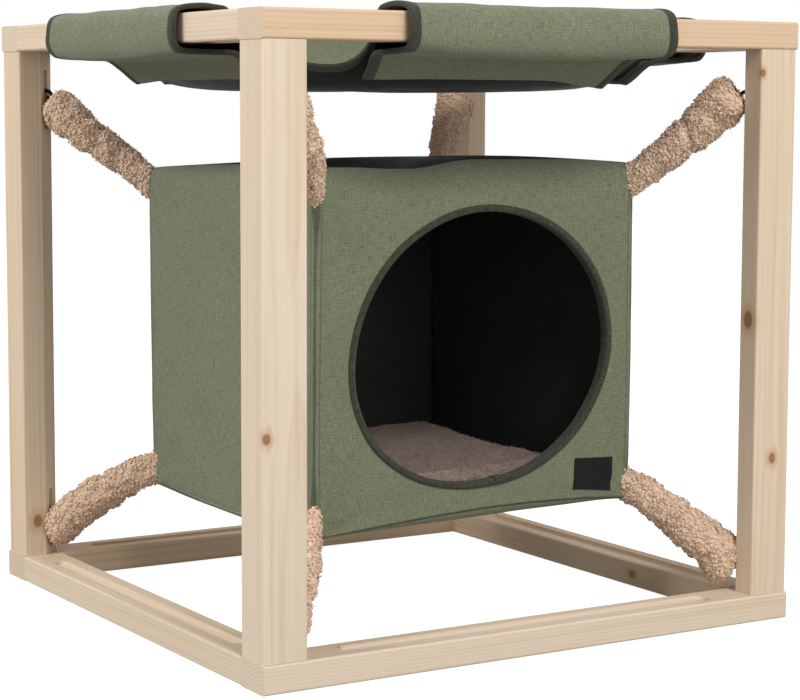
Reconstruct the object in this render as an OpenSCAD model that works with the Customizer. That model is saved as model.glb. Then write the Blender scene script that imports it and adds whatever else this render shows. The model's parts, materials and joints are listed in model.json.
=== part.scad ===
// Cat condo: a fabric den hung by eight plush arms inside a pine cube frame,
// with a sheet hammock wrapped round the four top rails.
// The front, with the round door, faces -Y. The origin is on the floor, under the middle.

/* [Frame] */
// Width of the frame over the rails
frame_w = 600; // [560:5:700]
// Depth of the frame over the rails
frame_d = 600; // [560:5:700]
// Height of the frame from the floor to the top of the rails
frame_h = 600; // [590:5:700]
// Height of a rail's section
rail_h = 27; // [22:1:32]
// Depth of a rail's section
rail_t = 45; // [40:1:55]
// Side of a post's square section
post_s = 44; // [40:1:52]
// How far a post stands back from the rails' outer faces
post_inset = 1; // [0:0.5:3]
// Leg of the chamfer on a post's inner corner
post_chamfer = 19; // [16:0.5:22]
// Radius of the eased long edges
edge_r = 2.5; // [1:0.5:4]
// Width of the stopped groove along each rail
groove_w = 16; // [8:1:22]
// Depth of that groove
groove_depth = 6; // [3:0.5:8]
// Distance from the frame's corner to the end of a groove
groove_stop = 88; // [75:1:130]

/* [Frame fixings] */
// Diameter of a corner screw's shank
screw_d = 6; // [4:0.5:8]
// Diameter of a corner screw's countersunk head
screw_head_d = 11; // [9:0.5:14]
// Length of a corner screw
screw_len = 60; // [45:1:80]
// How far the screws stand out from the post's middle
screw_out = 10; // [8.5:0.5:12]
// Diameter of a rail dowel
dowel_d = 8; // [6:1:10]
// Length of a rail dowel
dowel_len = 40; // [30:2:46]
// Spacing of the two dowels in one joint
dowel_gap = 20; // [16:1:24]
// Clearance round screws and dowels in their holes
fit_gap = 0.1; // [0.05:0.05:0.3]

/* [Arm fixings] */
// Distance of the upper screw eyes below the top of the frame
eye_drop = 78; // [70:1:100]
// Height of the lower screw eyes
eye_z_low = 66; // [62:1:90]
// Outer diameter of a screw eye's ring
eye_d = 24; // [20:1:28]
// Diameter of a screw eye's wire
eye_wire = 4; // [3:0.5:5]
// Length of a screw eye's shank in the post
eye_shank = 22; // [14:1:26]
// Width of the slot in the post behind a screw eye
slot_w = 8; // [6:0.5:12]
// Length of that slot
slot_len = 64; // [40:1:66]
// Depth of that slot from the chamfer
slot_depth = 14; // [10:1:16]
// Diameter of a snap hook's wire
hook_wire = 3.5; // [3:0.25:4]
// Width of a snap hook between its wires' middles
hook_w = 16; // [14:0.5:17]
// Length of a snap hook outside
hook_len = 34; // [30:1:42]
// Width of the webbing strap
strap_w = 10; // [6:0.5:10]
// Thickness of the webbing strap
strap_t = 1.5; // [1:0.25:2]

/* [Plush arms] */
// Radius of a sleeve at the post
sleeve_r_post = 22; // [18:0.5:23]
// Radius of a sleeve at the den's corner
sleeve_r_den = 16.5; // [15:0.5:20]
// Radius of the space inside a sleeve
sleeve_bore = 12.5; // [11.5:0.25:13.5]
// Distance of a sleeve's end from the screw eye's wire
sleeve_start = 5; // [4:0.5:10]

/* [Den] */
// Width of the den at its corners
den_w = 364; // [350:2:390]
// Depth of the den at its corners
den_d = 364; // [350:2:390]
// Height of the den at its corners
den_h = 352; // [330:2:360]
// How far the den's middle hangs below the frame's
den_drop = 14; // [0:1:20]
// How far the panels draw in between the corners
den_draw = 0.5; // [0:0.5:8]
// How far the floor of the den sags
floor_sag = 7; // [0:0.5:10]
// How far the roof of the den sags
roof_sag = 20; // [10:0.5:24]
// How far the den's top edges arch up between the corners
rim_arch = 8; // [0:0.5:10]
// Size of the flattened corner where an arm is sewn on
corner_cut = 32; // [28:1:40]
// Thickness of the padded outer panels
panel_t = 5; // [3:0.5:8]
// Thickness of the lining
lining_t = 2; // [1:0.5:3]
// Width of the door in the front panel
door_w = 288; // [220:2:292]
// Height of the door in the front panel
door_h = 268; // [210:2:272]
// Sideways offset of the door
door_x = 10; // [-10:1:10]
// How far the door's middle lies below the den's
door_drop = 5; // [-4:1:8]
// How much fuller the door is at its lower left
door_full = 11; // [0:0.5:12]
// How far the door binding reaches over the panel
binding_w = 7; // [5:0.5:8]
// Thickness of the door binding
binding_t = 1.6; // [1:0.2:2.4]
// Width of the bare label patch
label_w = 45; // [25:1:46]
// Height of the bare label patch
label_h = 33; // [20:1:34]
// Sideways place of the label's middle
label_x = 142; // [130:1:143]
// How far the label's middle lies below the den's
label_drop = 139; // [136:1:142]

/* [Mat] */
// Width and depth of the plush mat
mat_s = 322; // [280:2:330]
// Thickness of the mat at its edge
mat_edge = 26; // [16:0.5:30]
// Thickness of the mat at its middle
mat_mid = 36; // [30:0.5:40]
// How far the mat's sides draw in
mat_draw = 4; // [0:0.5:8]
// How far the mat's rounded corners stand in
mat_round = 14; // [12:1:30]

/* [Hammock] */
// Width of a flap over a rail
flap_w = 296; // [260:2:320]
// Sideways offset of the front and back flaps
flap_shift_x = -8; // [-16:1:16]
// Sideways offset of the left and right flaps
flap_shift_y = 3; // [-16:1:16]
// Thickness of the hammock's shell and lining together
sheet_t = 4; // [3:0.5:5]
// Thickness of the lining within it
sheet_lining = 1.6; // [1:0.2:2]
// How far the bed hangs below the rails' top
bed_sag = 67; // [40:1:70]
// How far the cut corners of the bed stand in from the rails
corner_pull = 76; // [64:1:84]
// How far the cut corners dip, as a share of the bed's hang
corner_dip = 0.65; // [0:0.02:0.9]
// How far a flap stands above the rail
flap_rise = 7; // [6:0.5:12]
// How far a flap stands out from the rail
flap_proud = 8.5; // [6:0.5:14]
// How far a flap hangs below the rail
flap_drop = 7; // [6:0.5:14]
// How far a flap's tail reaches in from the rail's inner face
tail_reach = 46; // [38:1:70]
// Width of the hook-and-loop strip on a tail
fastener_w = 16; // [12:1:22]
// Thickness of the hook-and-loop strip
fastener_t = 1.8; // [1:0.2:3]
// Width of the binding on a flap's end
trim_w = 9; // [6:0.5:14]
// How far that binding stands proud of the sheet
trim_proud = 0.8; // [0.4:0.1:1]

/* [Hidden] */

$fn = 48;
// Clearance between soft pieces that lie against each other
soft_gap = 0.3;
// Clearance between the outer panels and the lining
layer_gap = 0.6;
// Recess of a screw head below the rail's face
head_sink = 0.6;

pine = [0.87, 0.79, 0.68];
olive = [0.42, 0.46, 0.36];
jet = [0.08, 0.08, 0.08];
trim_grey = [0.28, 0.29, 0.25];
plush = [0.73, 0.60, 0.48];
taupe = [0.48, 0.43, 0.39];
beech = [0.80, 0.66, 0.48];
steel = [0.62, 0.62, 0.64];

// Corners of the frame, as signs along X and Y
FL = [-1, -1];
FR = [1, -1];
BL = [-1, 1];
BR = [1, 1];
CORNERS = [FL, FR, BL, BR];
TOP = 1;
LOW = -1;

half_w = frame_w / 2;
half_d = frame_d / 2;
post_x = half_w - post_inset - post_s / 2;
post_y = half_d - post_inset - post_s / 2;

// Rails, posts and what holds them

module rounded_rect(w, h, r) {
    square([w - 2 * r, h], center = true);
    square([w, h - 2 * r], center = true);
    for (x = [-1, 1], y = [-1, 1])
        translate([x * (w / 2 - r), y * (h / 2 - r)]) circle(r);
}

// What is made for the back right corner, moved to corner c by mirroring
module at_corner(c) {
    mirror([c.x < 0 ? 1 : 0, 0, 0]) mirror([0, c.y < 0 ? 1 : 0, 0]) children();
}

// What is made for the bottom ring, moved to the top ring by mirroring
module at_level(level) {
    translate([0, 0, level == TOP ? frame_h : 0]) mirror([0, 0, level == TOP ? 1 : 0]) children();
}

// A groove of a round-nosed cutter along X, in a face at z = 0
module stopped_groove(len) {
    cutter_r = (pow(groove_w / 2, 2) + pow(groove_depth, 2)) / (2 * groove_depth);
    reach = len / 2 - groove_w / 2;
    translate([0, 0, cutter_r - groove_depth]) {
        rotate([0, 90, 0]) cylinder(r = cutter_r, h = 2 * reach, center = true);
        for (x = [-1, 1]) translate([x * reach, 0, 0]) sphere(cutter_r);
    }
}

// A bar along X with eased edges, standing on z = 0, its middle at y = 0
module rail_bar(len) {
    translate([0, 0, rail_h / 2]) rotate([0, 90, 0])
        linear_extrude(len, center = true) rounded_rect(rail_h, rail_t, edge_r);
}

// A countersunk screw that points up from a rail's face, with clearance g all round
module corner_screw(g) {
    cone_h = (screw_head_d - screw_d) / 2;
    at_screw() {
        translate([0, 0, head_sink]) cylinder(d1 = screw_head_d + 2 * g, d2 = screw_d + 2 * g, h = cone_h);
        translate([0, 0, head_sink + cone_h]) cylinder(d = screw_d + 2 * g, h = screw_len - cone_h + g);
        if (g > 0) translate([0, 0, -1]) cylinder(d = screw_head_d + 2 * g, h = head_sink + 1);
    }
}

module at_screw() {
    translate([post_x, post_y + screw_out, 0]) children();
}

// The two dowels of one rail joint, with clearance g all round
module dowel_pair(g) {
    for (k = [-1, 1])
        translate([half_w - rail_t / 2 + k * dowel_gap / 2, half_d - rail_t, rail_h / 2])
            rotate([90, 0, 0]) cylinder(d = dowel_d + 2 * g, h = dowel_len + 2 * g, center = true);
}

// The full-width back rail of the bottom ring
module long_rail() {
    difference() {
        translate([0, half_d - rail_t / 2, 0]) rail_bar(frame_w);
        translate([0, half_d - rail_t / 2, rail_h]) stopped_groove(frame_w - 2 * groove_stop);
        for (c = [BL, BR]) at_corner(c) {
            corner_screw(fit_gap);
            dowel_pair(fit_gap);
        }
    }
}

// The right rail of the bottom ring, which butts between the long rails
module short_rail() {
    difference() {
        translate([half_w - rail_t / 2, 0, 0]) rotate([0, 0, 90]) rail_bar(frame_d - 2 * rail_t);
        translate([half_w - rail_t / 2, 0, rail_h]) rotate([0, 0, 90])
            stopped_groove(frame_d - 2 * groove_stop);
        for (c = [FR, BR]) at_corner(c) dowel_pair(fit_gap);
    }
}

module rail(level, side) {
    color(pine) at_level(level) {
        if (side == "back") long_rail();
        if (side == "front") mirror([0, 1, 0]) long_rail();
        if (side == "right") short_rail();
        if (side == "left") mirror([1, 0, 0]) short_rail();
    }
}

// Middle of a post's chamfered face, and the level direction from there into the post
chamfer_mid = [post_x - post_s / 2 + post_chamfer / 2, post_y - post_s / 2 + post_chamfer / 2];
into_post = [1, 1] / sqrt(2);
ring_mid = chamfer_mid + into_post * (slot_depth - soft_gap - eye_d / 2);
wire_mid = ring_mid - into_post * (eye_d - eye_wire) / 2;

function eye_z(level) = level == TOP ? frame_h - eye_drop : eye_z_low;

// What lies along the diagonal of the back right post, from its chamfer at x = 0 inwards
module at_eye(level, from) {
    translate([from.x, from.y, eye_z(level)]) rotate([0, 0, 45]) children();
}

module eye_slot(level) {
    at_eye(level, chamfer_mid) rotate([0, 90, 0]) translate([0, 0, -slot_depth]) {
        cube_len = slot_len - slot_w;
        translate([-cube_len / 2, -slot_w / 2, 0]) cube([cube_len, slot_w, 2 * slot_depth]);
        for (k = [-1, 1]) translate([k * cube_len / 2, 0, 0]) cylinder(d = slot_w, h = 2 * slot_depth);
    }
}

// A screw eye's shank, from the ring into the post, with clearance g all round
module eye_screw(level, g) {
    at_eye(level, chamfer_mid) rotate([0, 90, 0]) translate([0, 0, slot_depth - soft_gap - eye_wire / 2])
        cylinder(d = eye_wire + 2 * g, h = eye_shank + eye_wire / 2 + g);
}

module screw_eye(level) {
    at_eye(level, ring_mid) rotate([90, 0, 0]) rotate_extrude()
        translate([(eye_d - eye_wire) / 2, 0]) circle(d = eye_wire);
    eye_screw(level, 0);
}

// The back right post, moved to corner c
module post(c) {
    color(pine) at_corner(c) difference() {
        translate([post_x, post_y, rail_h]) linear_extrude(frame_h - 2 * rail_h) difference() {
            rounded_rect(post_s, post_s, edge_r);
            translate([-post_s / 2, -post_s / 2]) rotate(45)
                square(post_chamfer * sqrt(2), center = true);
        }
        for (level = [LOW, TOP]) {
            at_level(level) corner_screw(fit_gap);
            eye_slot(level);
            eye_screw(level, fit_gap);
        }
    }
}

module corner_screws() {
    color(steel) for (level = [LOW, TOP], c = CORNERS) at_level(level) at_corner(c) corner_screw(0);
}

module rail_dowels() {
    color(beech) for (level = [LOW, TOP], c = CORNERS) at_level(level) at_corner(c) dowel_pair(0);
}

module screw_eyes() {
    color(jet) for (level = [LOW, TOP], c = CORNERS) at_corner(c) screw_eye(level);
}

// Arms, from the screw eye's wire to the flattened corner of the den

function den_corner(level) = [
    den_w / 2 - corner_cut / 3,
    den_d / 2 - corner_cut / 3,
    den_z + level * (den_h / 2 - corner_cut / 3)
];
function arm_root(level) = [wire_mid.x, wire_mid.y, eye_z(level)];
function arm_run(level) = den_corner(level) - arm_root(level);
function arm_len(level) = norm(arm_run(level));

// Angle by which the flattened corner leans towards the arm that meets it
function arm_tilt(level) =
    let (edge = den_point([1, 1, level * (1 - tip_step)], 0) - den_corner(level))
    asin(-arm_run(level) * edge / arm_len(level) / norm(edge));

// Arm axis along +X from the eye's wire, for the back right corner
module on_arm(level) {
    run = arm_run(level);
    translate(arm_root(level))
        rotate([0, -asin(run.z / arm_len(level)), atan2(run.y, run.x)]) children();
}

// Middles of a snap hook's two end wires, along the arm: the near one lies inside the eye's ring
function hook_near(level) =
    let (ring_r = (eye_d - eye_wire) / 2, room = ring_r - eye_wire / 2 - hook_wire / 2 - soft_gap)
    let (run = arm_run(level))
    let (level_share = -(run.x * into_post.x + run.y * into_post.y) / arm_len(level))
    let (off_axis = ring_r * sqrt(1 - level_share * level_share))
    sqrt(max(0, room * room - off_axis * off_axis)) - ring_r * level_share;
function hook_far(level) = hook_near(level) + hook_len - hook_wire;

module snap_hook(level) {
    bow = hook_w / 2;
    barrel_len = (hook_len - hook_w) / 2;
    barrel_d = 1.5 * hook_wire;
    near = hook_near(level);
    far = hook_far(level);
    on_arm(level) {
        for (end = [[near + bow, 90], [far - bow, -90]])
            translate([end[0], 0, 0]) rotate([0, 0, end[1]]) rotate_extrude(angle = 180)
                translate([bow, 0]) circle(d = hook_wire);
        for (y = [-bow, bow])
            translate([near + bow, y, 0]) rotate([0, 90, 0]) cylinder(d = hook_wire, h = far - near - hook_w);
        translate([(near + far - barrel_len) / 2, bow, 0]) rotate([0, 90, 0])
            cylinder(d = barrel_d, h = barrel_len);
    }
}

module snap_hooks() {
    color(jet) for (level = [LOW, TOP], c = CORNERS) at_corner(c) snap_hook(level);
}

module strap_outline(r, end) {
    circle(r);
    translate([0, -r]) square([end, 2 * r]);
}

// A webbing loop that is doubled round the hook and sewn into the den's corner
module strap(level) {
    loop_r = hook_wire / 2 + soft_gap;
    across_bow = sqrt(1 - pow(strap_w / hook_w, 2));
    wrap_back = hook_w / 2 * (1 - across_bow) + hook_wire / 2 * (1 / across_bow - 1);
    start = hook_far(level) - wrap_back;
    end = arm_len(level) - start - strap_w / 2 * tan(arm_tilt(level)) - soft_gap;
    on_arm(level) translate([start, 0, 0]) rotate([90, 0, 0])
        linear_extrude(strap_w, center = true) difference() {
            strap_outline(loop_r + strap_t, end);
            strap_outline(loop_r, end + 1);
        }
}

module straps(level) {
    color(jet) for (c = CORNERS) at_corner(c) strap(level);
}

// Radius of a sleeve at share t of its length: rounded at the post, lumpy, slimmer at the den
round_share = 0.12;
lump = 0.7;
sleeve_steps = 14;
function sleeve_r(t) =
    let (body = sleeve_r_post + (sleeve_r_den - sleeve_r_post) * t + lump * sin(t * 900))
    let (ease = t < round_share ? sqrt(1 - pow(1 - t / round_share, 2)) : 1)
    sleeve_bore + 1.5 + (body - sleeve_bore - 1.5) * ease;

module arm_sleeve(level, c) {
    end = arm_len(level) - sleeve_r_den * tan(arm_tilt(level)) - soft_gap;
    len = end - sleeve_start;
    outline = [for (i = [0:sleeve_steps]) [sleeve_r(i / sleeve_steps), len * i / sleeve_steps]];
    color(plush) at_corner(c) on_arm(level) translate([sleeve_start, 0, 0]) rotate([0, 90, 0])
        rotate_extrude() polygon(concat([[sleeve_bore, 0]], outline, [[sleeve_bore, len]]));
}

// Soft sheets: two skins on one grid of points, closed round the edge

// Triangles of a four-sided face that is listed counterclockwise from outside
function split(q, cross) = cross
    ? [[q[0], q[3], q[1]], [q[1], q[3], q[2]]]
    : [[q[0], q[2], q[1]], [q[0], q[3], q[2]]];

function turned(faces, flip) = flip ? [for (f = faces) [f[0], f[2], f[1]]] : faces;

// A sheet with an open grid, outer[i][j] over inner[i][j]; with rays its faces are split outwards from the middle
module sheet(outer, inner, flip = false, rays = false) {
    n = len(outer);
    m = len(outer[0]);
    id = function (s, i, j) (s * n + i) * m + j;
    across = function (i, j) ((2 * i - n + 2) * (2 * j - m + 2) > 0) != rays;
    skins = [
        for (i = [0:n - 2], j = [0:m - 2]) each concat(
            split([id(0, i, j), id(0, i + 1, j), id(0, i + 1, j + 1), id(0, i, j + 1)], across(i, j)),
            split([id(1, i, j + 1), id(1, i + 1, j + 1), id(1, i + 1, j), id(1, i, j)], !across(i, j))
        )
    ];
    long_edges = [
        for (i = [0:n - 2]) each concat(
            split([id(0, i + 1, 0), id(0, i, 0), id(1, i, 0), id(1, i + 1, 0)], false),
            split([id(0, i, m - 1), id(0, i + 1, m - 1), id(1, i + 1, m - 1), id(1, i, m - 1)], false)
        )
    ];
    short_edges = [
        for (j = [0:m - 2]) each concat(
            split([id(0, 0, j), id(0, 0, j + 1), id(1, 0, j + 1), id(1, 0, j)], false),
            split([id(0, n - 1, j + 1), id(0, n - 1, j), id(1, n - 1, j), id(1, n - 1, j + 1)], false)
        )
    ];
    points = [for (skin = [outer, inner]) for (row = skin) each row];
    polyhedron(points, turned(concat(skins, long_edges, short_edges), flip));
}

// A sheet that closes on itself along j: a panel round a hole, or a swept section
module ring_sheet(outer, inner, flip = false) {
    n = len(outer);
    m = len(outer[0]);
    id = function (s, i, j) (s * n + i) * m + (j % m);
    skins = [
        for (i = [0:n - 2], j = [0:m - 1]) each concat(
            split([id(0, i, j), id(0, i + 1, j), id(0, i + 1, j + 1), id(0, i, j + 1)], false),
            split([id(1, i, j + 1), id(1, i + 1, j + 1), id(1, i + 1, j), id(1, i, j)], true)
        )
    ];
    edges = [
        for (j = [0:m - 1]) each concat(
            split([id(0, 0, j), id(0, 0, j + 1), id(1, 0, j + 1), id(1, 0, j)], false),
            split([id(0, n - 1, j + 1), id(0, n - 1, j), id(1, n - 1, j), id(1, n - 1, j + 1)], false)
        )
    ];
    points = [for (skin = [outer, inner]) for (row = skin) each row];
    polyhedron(points, turned(concat(skins, edges), flip));
}

// Den: a soft box whose panels are pulled out at the corners

den_cells = 8;
den_z = frame_h / 2 - den_drop;
door_z = den_z - door_drop;
label_z = den_z - label_drop;
wall_t = panel_t + layer_gap + lining_t;

// The top edges arch up; the bottom edges draw in
function edge_draw(level) = level > 0 ? -rim_arch : den_draw;

// A point of the den's skin, from place p on the cube of half side 1, set in by inset
function den_point(p, inset) =
    let (h = [den_w, den_d, den_h] / 2 - [inset, inset, inset])
    let (q = [p.x * p.x, p.y * p.y, p.z * p.z])
    let (at_tip = min(abs(p.x), abs(p.y), abs(p.z)) > 0.995)
    let (cut = at_tip ? corner_cut / 3 : 0)
    let (sag = (p.z < 0 ? floor_sag : roof_sag) * (1 - q.x) * (1 - q.y) * q.z)
    [
        p.x * (h.x - den_draw * (1 - q.y * q.z) - cut),
        p.y * (h.y - den_draw * (1 - q.x * q.z) - cut),
        den_z + p.z * (h.z - edge_draw(p.z) * (1 - q.x * q.y) - cut) - sag
    ];

// Steps across a panel: a short one at each end for the flattened corner
tip_step = 2 * corner_cut / (den_w + den_d) * 2;
function den_step(i) =
    i == 0 ? -1 : i == den_cells ? 1
    : (1 - tip_step) * (2 * (i - 1) / (den_cells - 2) - 1);

// A place on the cube's face: axis 0, 1 or 2, side -1 or 1, and u, v across it
function on_face(axis, side, u, v) =
    axis == 0 ? [side, u, v] : axis == 1 ? [u, side, v] : [u, v, side];

// Share by which a panel stops short of the seam with its neighbour
seam_share = 1 - 2 * soft_gap / den_w;

module den_panel(axis, side, from, to) {
    skin = function (inset) [
        for (i = [0:den_cells]) [
            for (j = [0:den_cells])
                den_point(on_face(axis, side, den_step(i) * seam_share, den_step(j) * seam_share), inset)
        ]
    ];
    sheet(skin(from), skin(to), side * (axis == 1 ? -1 : 1) < 0);
}

// Places round the edge of the front panel, counterclockwise from its lower left corner
function edge_place(k) =
    let (side = floor(k / den_cells), t = den_step(k % den_cells))
    side == 0 ? [t, -1] : side == 1 ? [1, t] : side == 2 ? [-t, 1] : [-1, -t];

// The direction in which the door is fuller than an oval
door_full_at = 214;

// The door's edge towards place k, moved out by grow, as X and Z
function door_edge(k, grow) =
    let (e = edge_place(k), a = atan2(e[1], e[0]))
    let (rim = [cos(a) * door_w / 2, sin(a) * door_h / 2])
    let (out = [cos(a) / door_w, sin(a) / door_h])
    let (full = door_full * pow(max(0, cos(a - door_full_at)), 4))
    [door_x, door_z] + rim + out / norm(out) * (grow + full);

// The place on the cube's front that lands on X, Z of the skin at inset
function front_place(x, z, inset) =
    let (h = [den_w, den_h] / 2 - [inset, inset])
    let (v = (z - den_z) / (h[1] - edge_draw(z - den_z) * (1 - pow(x / h[0], 2))))
    [x / (h[0] - den_draw * (1 - v * v)), v];

door_rings = 3;
module front_panel(from, to) {
    skin = function (inset) [
        for (i = [0:door_rings]) [
            for (k = [0:4 * den_cells - 1])
                let (d = door_edge(k, 0), near = front_place(d[0], d[1], inset))
                let (uv = near + (edge_place(k) * seam_share - near) * i / door_rings)
                den_point([uv[0], -1, uv[1]], inset)
        ]
    ];
    ring_sheet(skin(from), skin(to));
}

module door_binding() {
    g = soft_gap;
    t = binding_t;
    section = function (grow, deep) [
        for (k = [0:4 * den_cells - 1])
            let (e = door_edge(k, grow), uv = front_place(e[0], e[1], 0))
            [e[0], den_point([uv[0], -1, uv[1]], 0).y + deep, e[1]]
    ];
    outside = [
        section(binding_w, -g),
        section(binding_w, -g - t),
        section(-g - t, -g - t),
        section(-g - t, wall_t + g + t),
        section(binding_w, wall_t + g + t),
        section(binding_w, wall_t + g)
    ];
    inside = [
        section(-g, -g),
        section(-g, wall_t + g)
    ];
    rows = concat(outside, [inside[1], inside[0]]);
    n = len(rows);
    m = len(rows[0]);
    faces = [
        for (i = [0:n - 1], j = [0:m - 1])
            each split([
                i * m + j,
                ((i + 1) % n) * m + j,
                ((i + 1) % n) * m + (j + 1) % m,
                i * m + (j + 1) % m
            ], false)
    ];
    color(trim_grey) polyhedron([for (row = rows) each row], turned(faces, true));
}

module label_patch() {
    cells = 4;
    out = 0.5;
    thick = 0.8;
    skin = function (inset) [
        for (i = [0:cells]) [
            for (j = [0:cells])
                let (x = label_x + (i / cells - 0.5) * label_w, z = label_z + (j / cells - 0.5) * label_h)
                let (uv = front_place(x, z, 0))
                den_point([uv[0], -1, uv[1]], inset)
        ]
    ];
    color(jet) sheet(skin(-out - thick), skin(-out));
}

module den_shell(side) {
    color(side == "roof" ? jet : olive) den_layer(side, 0, panel_t);
}

module den_lining(side) {
    color(jet) den_layer(side, panel_t + layer_gap, wall_t);
}

module den_layer(side, from, to) {
    if (side == "front") front_panel(from, to);
    if (side == "back") den_panel(1, 1, from, to);
    if (side == "left") den_panel(0, -1, from, to);
    if (side == "right") den_panel(0, 1, from, to);
    if (side == "roof") den_panel(2, 1, from, to);
    if (side == "floor") den_panel(2, -1, from, to);
}

// Mat: a crowned pad that lies on the den's floor

mat_cells = 12;
mat_seat = 3 * soft_gap;

// Height of the lined floor at X, Y
function floor_z(x, y) =
    let (h = [den_w, den_d] / 2 - [wall_t, wall_t])
    let (v = y / (h.y - den_draw * (1 - pow(x / h.x, 2))))
    let (u = x / (h.x - den_draw * (1 - v * v)))
    den_point([u, v, -1], wall_t).z;

module den_mat() {
    place = function (i, j)
        let (u = 2 * i / mat_cells - 1, v = 2 * j / mat_cells - 1)
        let (corner = mat_round * pow(u * v, 6))
        [
            u * (mat_s / 2 - mat_draw * (1 - v * v) - corner),
            v * (mat_s / 2 - mat_draw * (1 - u * u) - corner),
            u,
            v
        ];
    skin = function (upper) [
        for (i = [0:mat_cells]) [
            for (j = [0:mat_cells])
                let (p = place(i, j))
                let (crown = (1 - pow(p[2], 4)) * (1 - pow(p[3], 4)))
                let (ground = floor_z(p[0], p[1]) + mat_seat)
                [p[0], p[1], ground + (upper ? mat_edge + (mat_mid - mat_edge) * crown : 0)]
        ]
    ];
    color(taupe) sheet(skin(true), skin(false));
}

// Hammock: a cross-shaped sheet, its four flaps wrapped round the top rails

bed_x = half_w - rail_t;
bed_y = half_d - rail_t;
// Where the bed ends and a flap begins, in from the rail's inner face
bed_in = 9;
bed_low = frame_h - bed_sag;
bed_rim = frame_h - 11;
// How late the bed rises towards the rails
bed_power = 8;

// Height of the sheet's middle at share m of the way from the centre to the bed's edge
function bed_z(m) = bed_low + (bed_rim - bed_low) * pow(m, bed_power);
function bed_slope(m, reach) = (bed_rim - bed_low) * bed_power * pow(m, bed_power - 1) / reach;

// Share of a side's steps that lie along the flap, and the rest along the cut corner
flap_share = 5 / 7;
bed_cells = 14;

// Steps from -1 to 1 across the bed, closer together towards its edges
function bed_step(i) =
    let (t = 2 * i / bed_cells - 1)
    sign(t) * (1 - pow(1 - abs(t), 1.7));

function bezier(a, b, c, t) = a * (1 - t) * (1 - t) + b * 2 * t * (1 - t) + c * t * t;

// Edge of the bed from the end of a front or back flap (t = 0) to a side flap (t = 1)
function corner_edge(sx, sy, t) =
    let (a = [flap_shift_x + sx * flap_w / 2, sy * (bed_y - bed_in)])
    let (c = [sx * (bed_x - bed_in), flap_shift_y + sy * flap_w / 2])
    let (mid = [sx * (bed_x - corner_pull), sy * (bed_y - corner_pull)])
    bezier(a, 2 * mid - (a + c) / 2, c, t);

// Share of the way from a flap's end to the middle of a cut corner, at place u, v
function corner_share(u, v) = max(0, min(abs(u), abs(v)) - flap_share) / (1 - flap_share);

// Edge of the bed at place u, v on the edge of a square of half side 1
function bed_edge(u, v) =
    let (sx = u < 0 ? -1 : 1, sy = v < 0 ? -1 : 1, bend = corner_share(u, v) / 2)
    abs(v) >= abs(u)
        ? (bend > 0 ? corner_edge(sx, sy, bend)
            : [flap_shift_x + u / flap_share * flap_w / 2, sy * (bed_y - bed_in)])
        : (bend > 0 ? corner_edge(sx, sy, 1 - bend)
            : [sx * (bed_x - bed_in), flap_shift_y + v / flap_share * flap_w / 2]);

// The bed's middle surface at grid place i, j
function bed_point(i, j) =
    let (ti = 2 * i / bed_cells - 1, tj = 2 * j / bed_cells - 1, t = max(abs(ti), abs(tj)))
    let (u = t == 0 ? 0 : ti / t, v = t == 0 ? 0 : tj / t)
    let (m = abs(bed_step((t + 1) * bed_cells / 2)))
    let (p = t == 0 ? [0, 0] : bed_edge(u, v) * m)
    let (c = corner_share(u, v))
    [p.x, p.y, bed_low + (bed_z(m) - bed_low) * (1 - corner_dip * c * c * (3 - 2 * c))];

// A grid's points moved up by rise along its normals
function raised(grid, rise) =
    let (n = len(grid) - 1, m = len(grid[0]) - 1)
    [
        for (i = [0:n]) [
            for (j = [0:m])
                let (along = grid[min(i + 1, n)][j] - grid[max(i - 1, 0)][j])
                let (over = grid[i][min(j + 1, m)] - grid[i][max(j - 1, 0)])
                let (up = cross(along, over))
                grid[i][j] + up / norm(up) * (up.z < 0 ? -rise : rise)
        ]
    ];

// The bed's sheet between two heights above its middle surface
module bed_layer(upper, lower) {
    middle = [for (i = [0:bed_cells]) [for (j = [0:bed_cells]) bed_point(i, j)]];
    sheet(raised(middle, upper), raised(middle, lower), rays = true);
}

lining_top = sheet_lining - sheet_t / 2;
layer_seam = soft_gap;

module hammock_bed() {
    color(olive) bed_layer(sheet_t / 2, lining_top + layer_seam);
}

module hammock_lining() {
    color(jet) bed_layer(lining_top, -sheet_t / 2);
}

// A point at depth d under the bed's middle surface, x in from the rail's inner face at s
function under_bed(s, x, d) =
    let (reach = s - bed_in, m = (s - x) / reach, slope = bed_slope(m, reach))
    [s - x, bed_z(m)] + [slope, -1] / norm([slope, 1]) * d;

tail_depth = sheet_t + fastener_t + 2 * soft_gap;
bed_seam = 1.4;

// Middle line of a flap's section: up from the bed, over the rail, down its outer face,
// under it and back to the bed's underside. The rail's inner face is at s.
function flap_knots(s) =
    let (out = s + rail_t + flap_proud, under = frame_h - rail_h - flap_drop)
    let (start = [1, bed_slope(1, s - bed_in)])
    [
        [s - bed_in, bed_rim] + start / norm(start) * bed_seam,
        [s - 4.5, frame_h - 2],
        [s + 1, frame_h + flap_rise - 2.6],
        [s + rail_t * 0.27, frame_h + flap_rise - 0.7],
        [s + rail_t * 0.6, frame_h + flap_rise],
        [s + rail_t - 3, frame_h + flap_rise - 1.5],
        [out - 3, frame_h],
        [out, frame_h - rail_h / 2],
        [out, frame_h - rail_h + 5],
        [out - 3.5, under + 4],
        [s + rail_t - 3, under],
        [s + rail_t / 3, under - 1],
        [s - 10, under - 2],
        under_bed(s, tail_reach - fastener_w * 1.1, tail_depth + 1),
        under_bed(s, tail_reach - fastener_w / 2, tail_depth + 0.1),
        under_bed(s, tail_reach, tail_depth)
    ];

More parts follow.
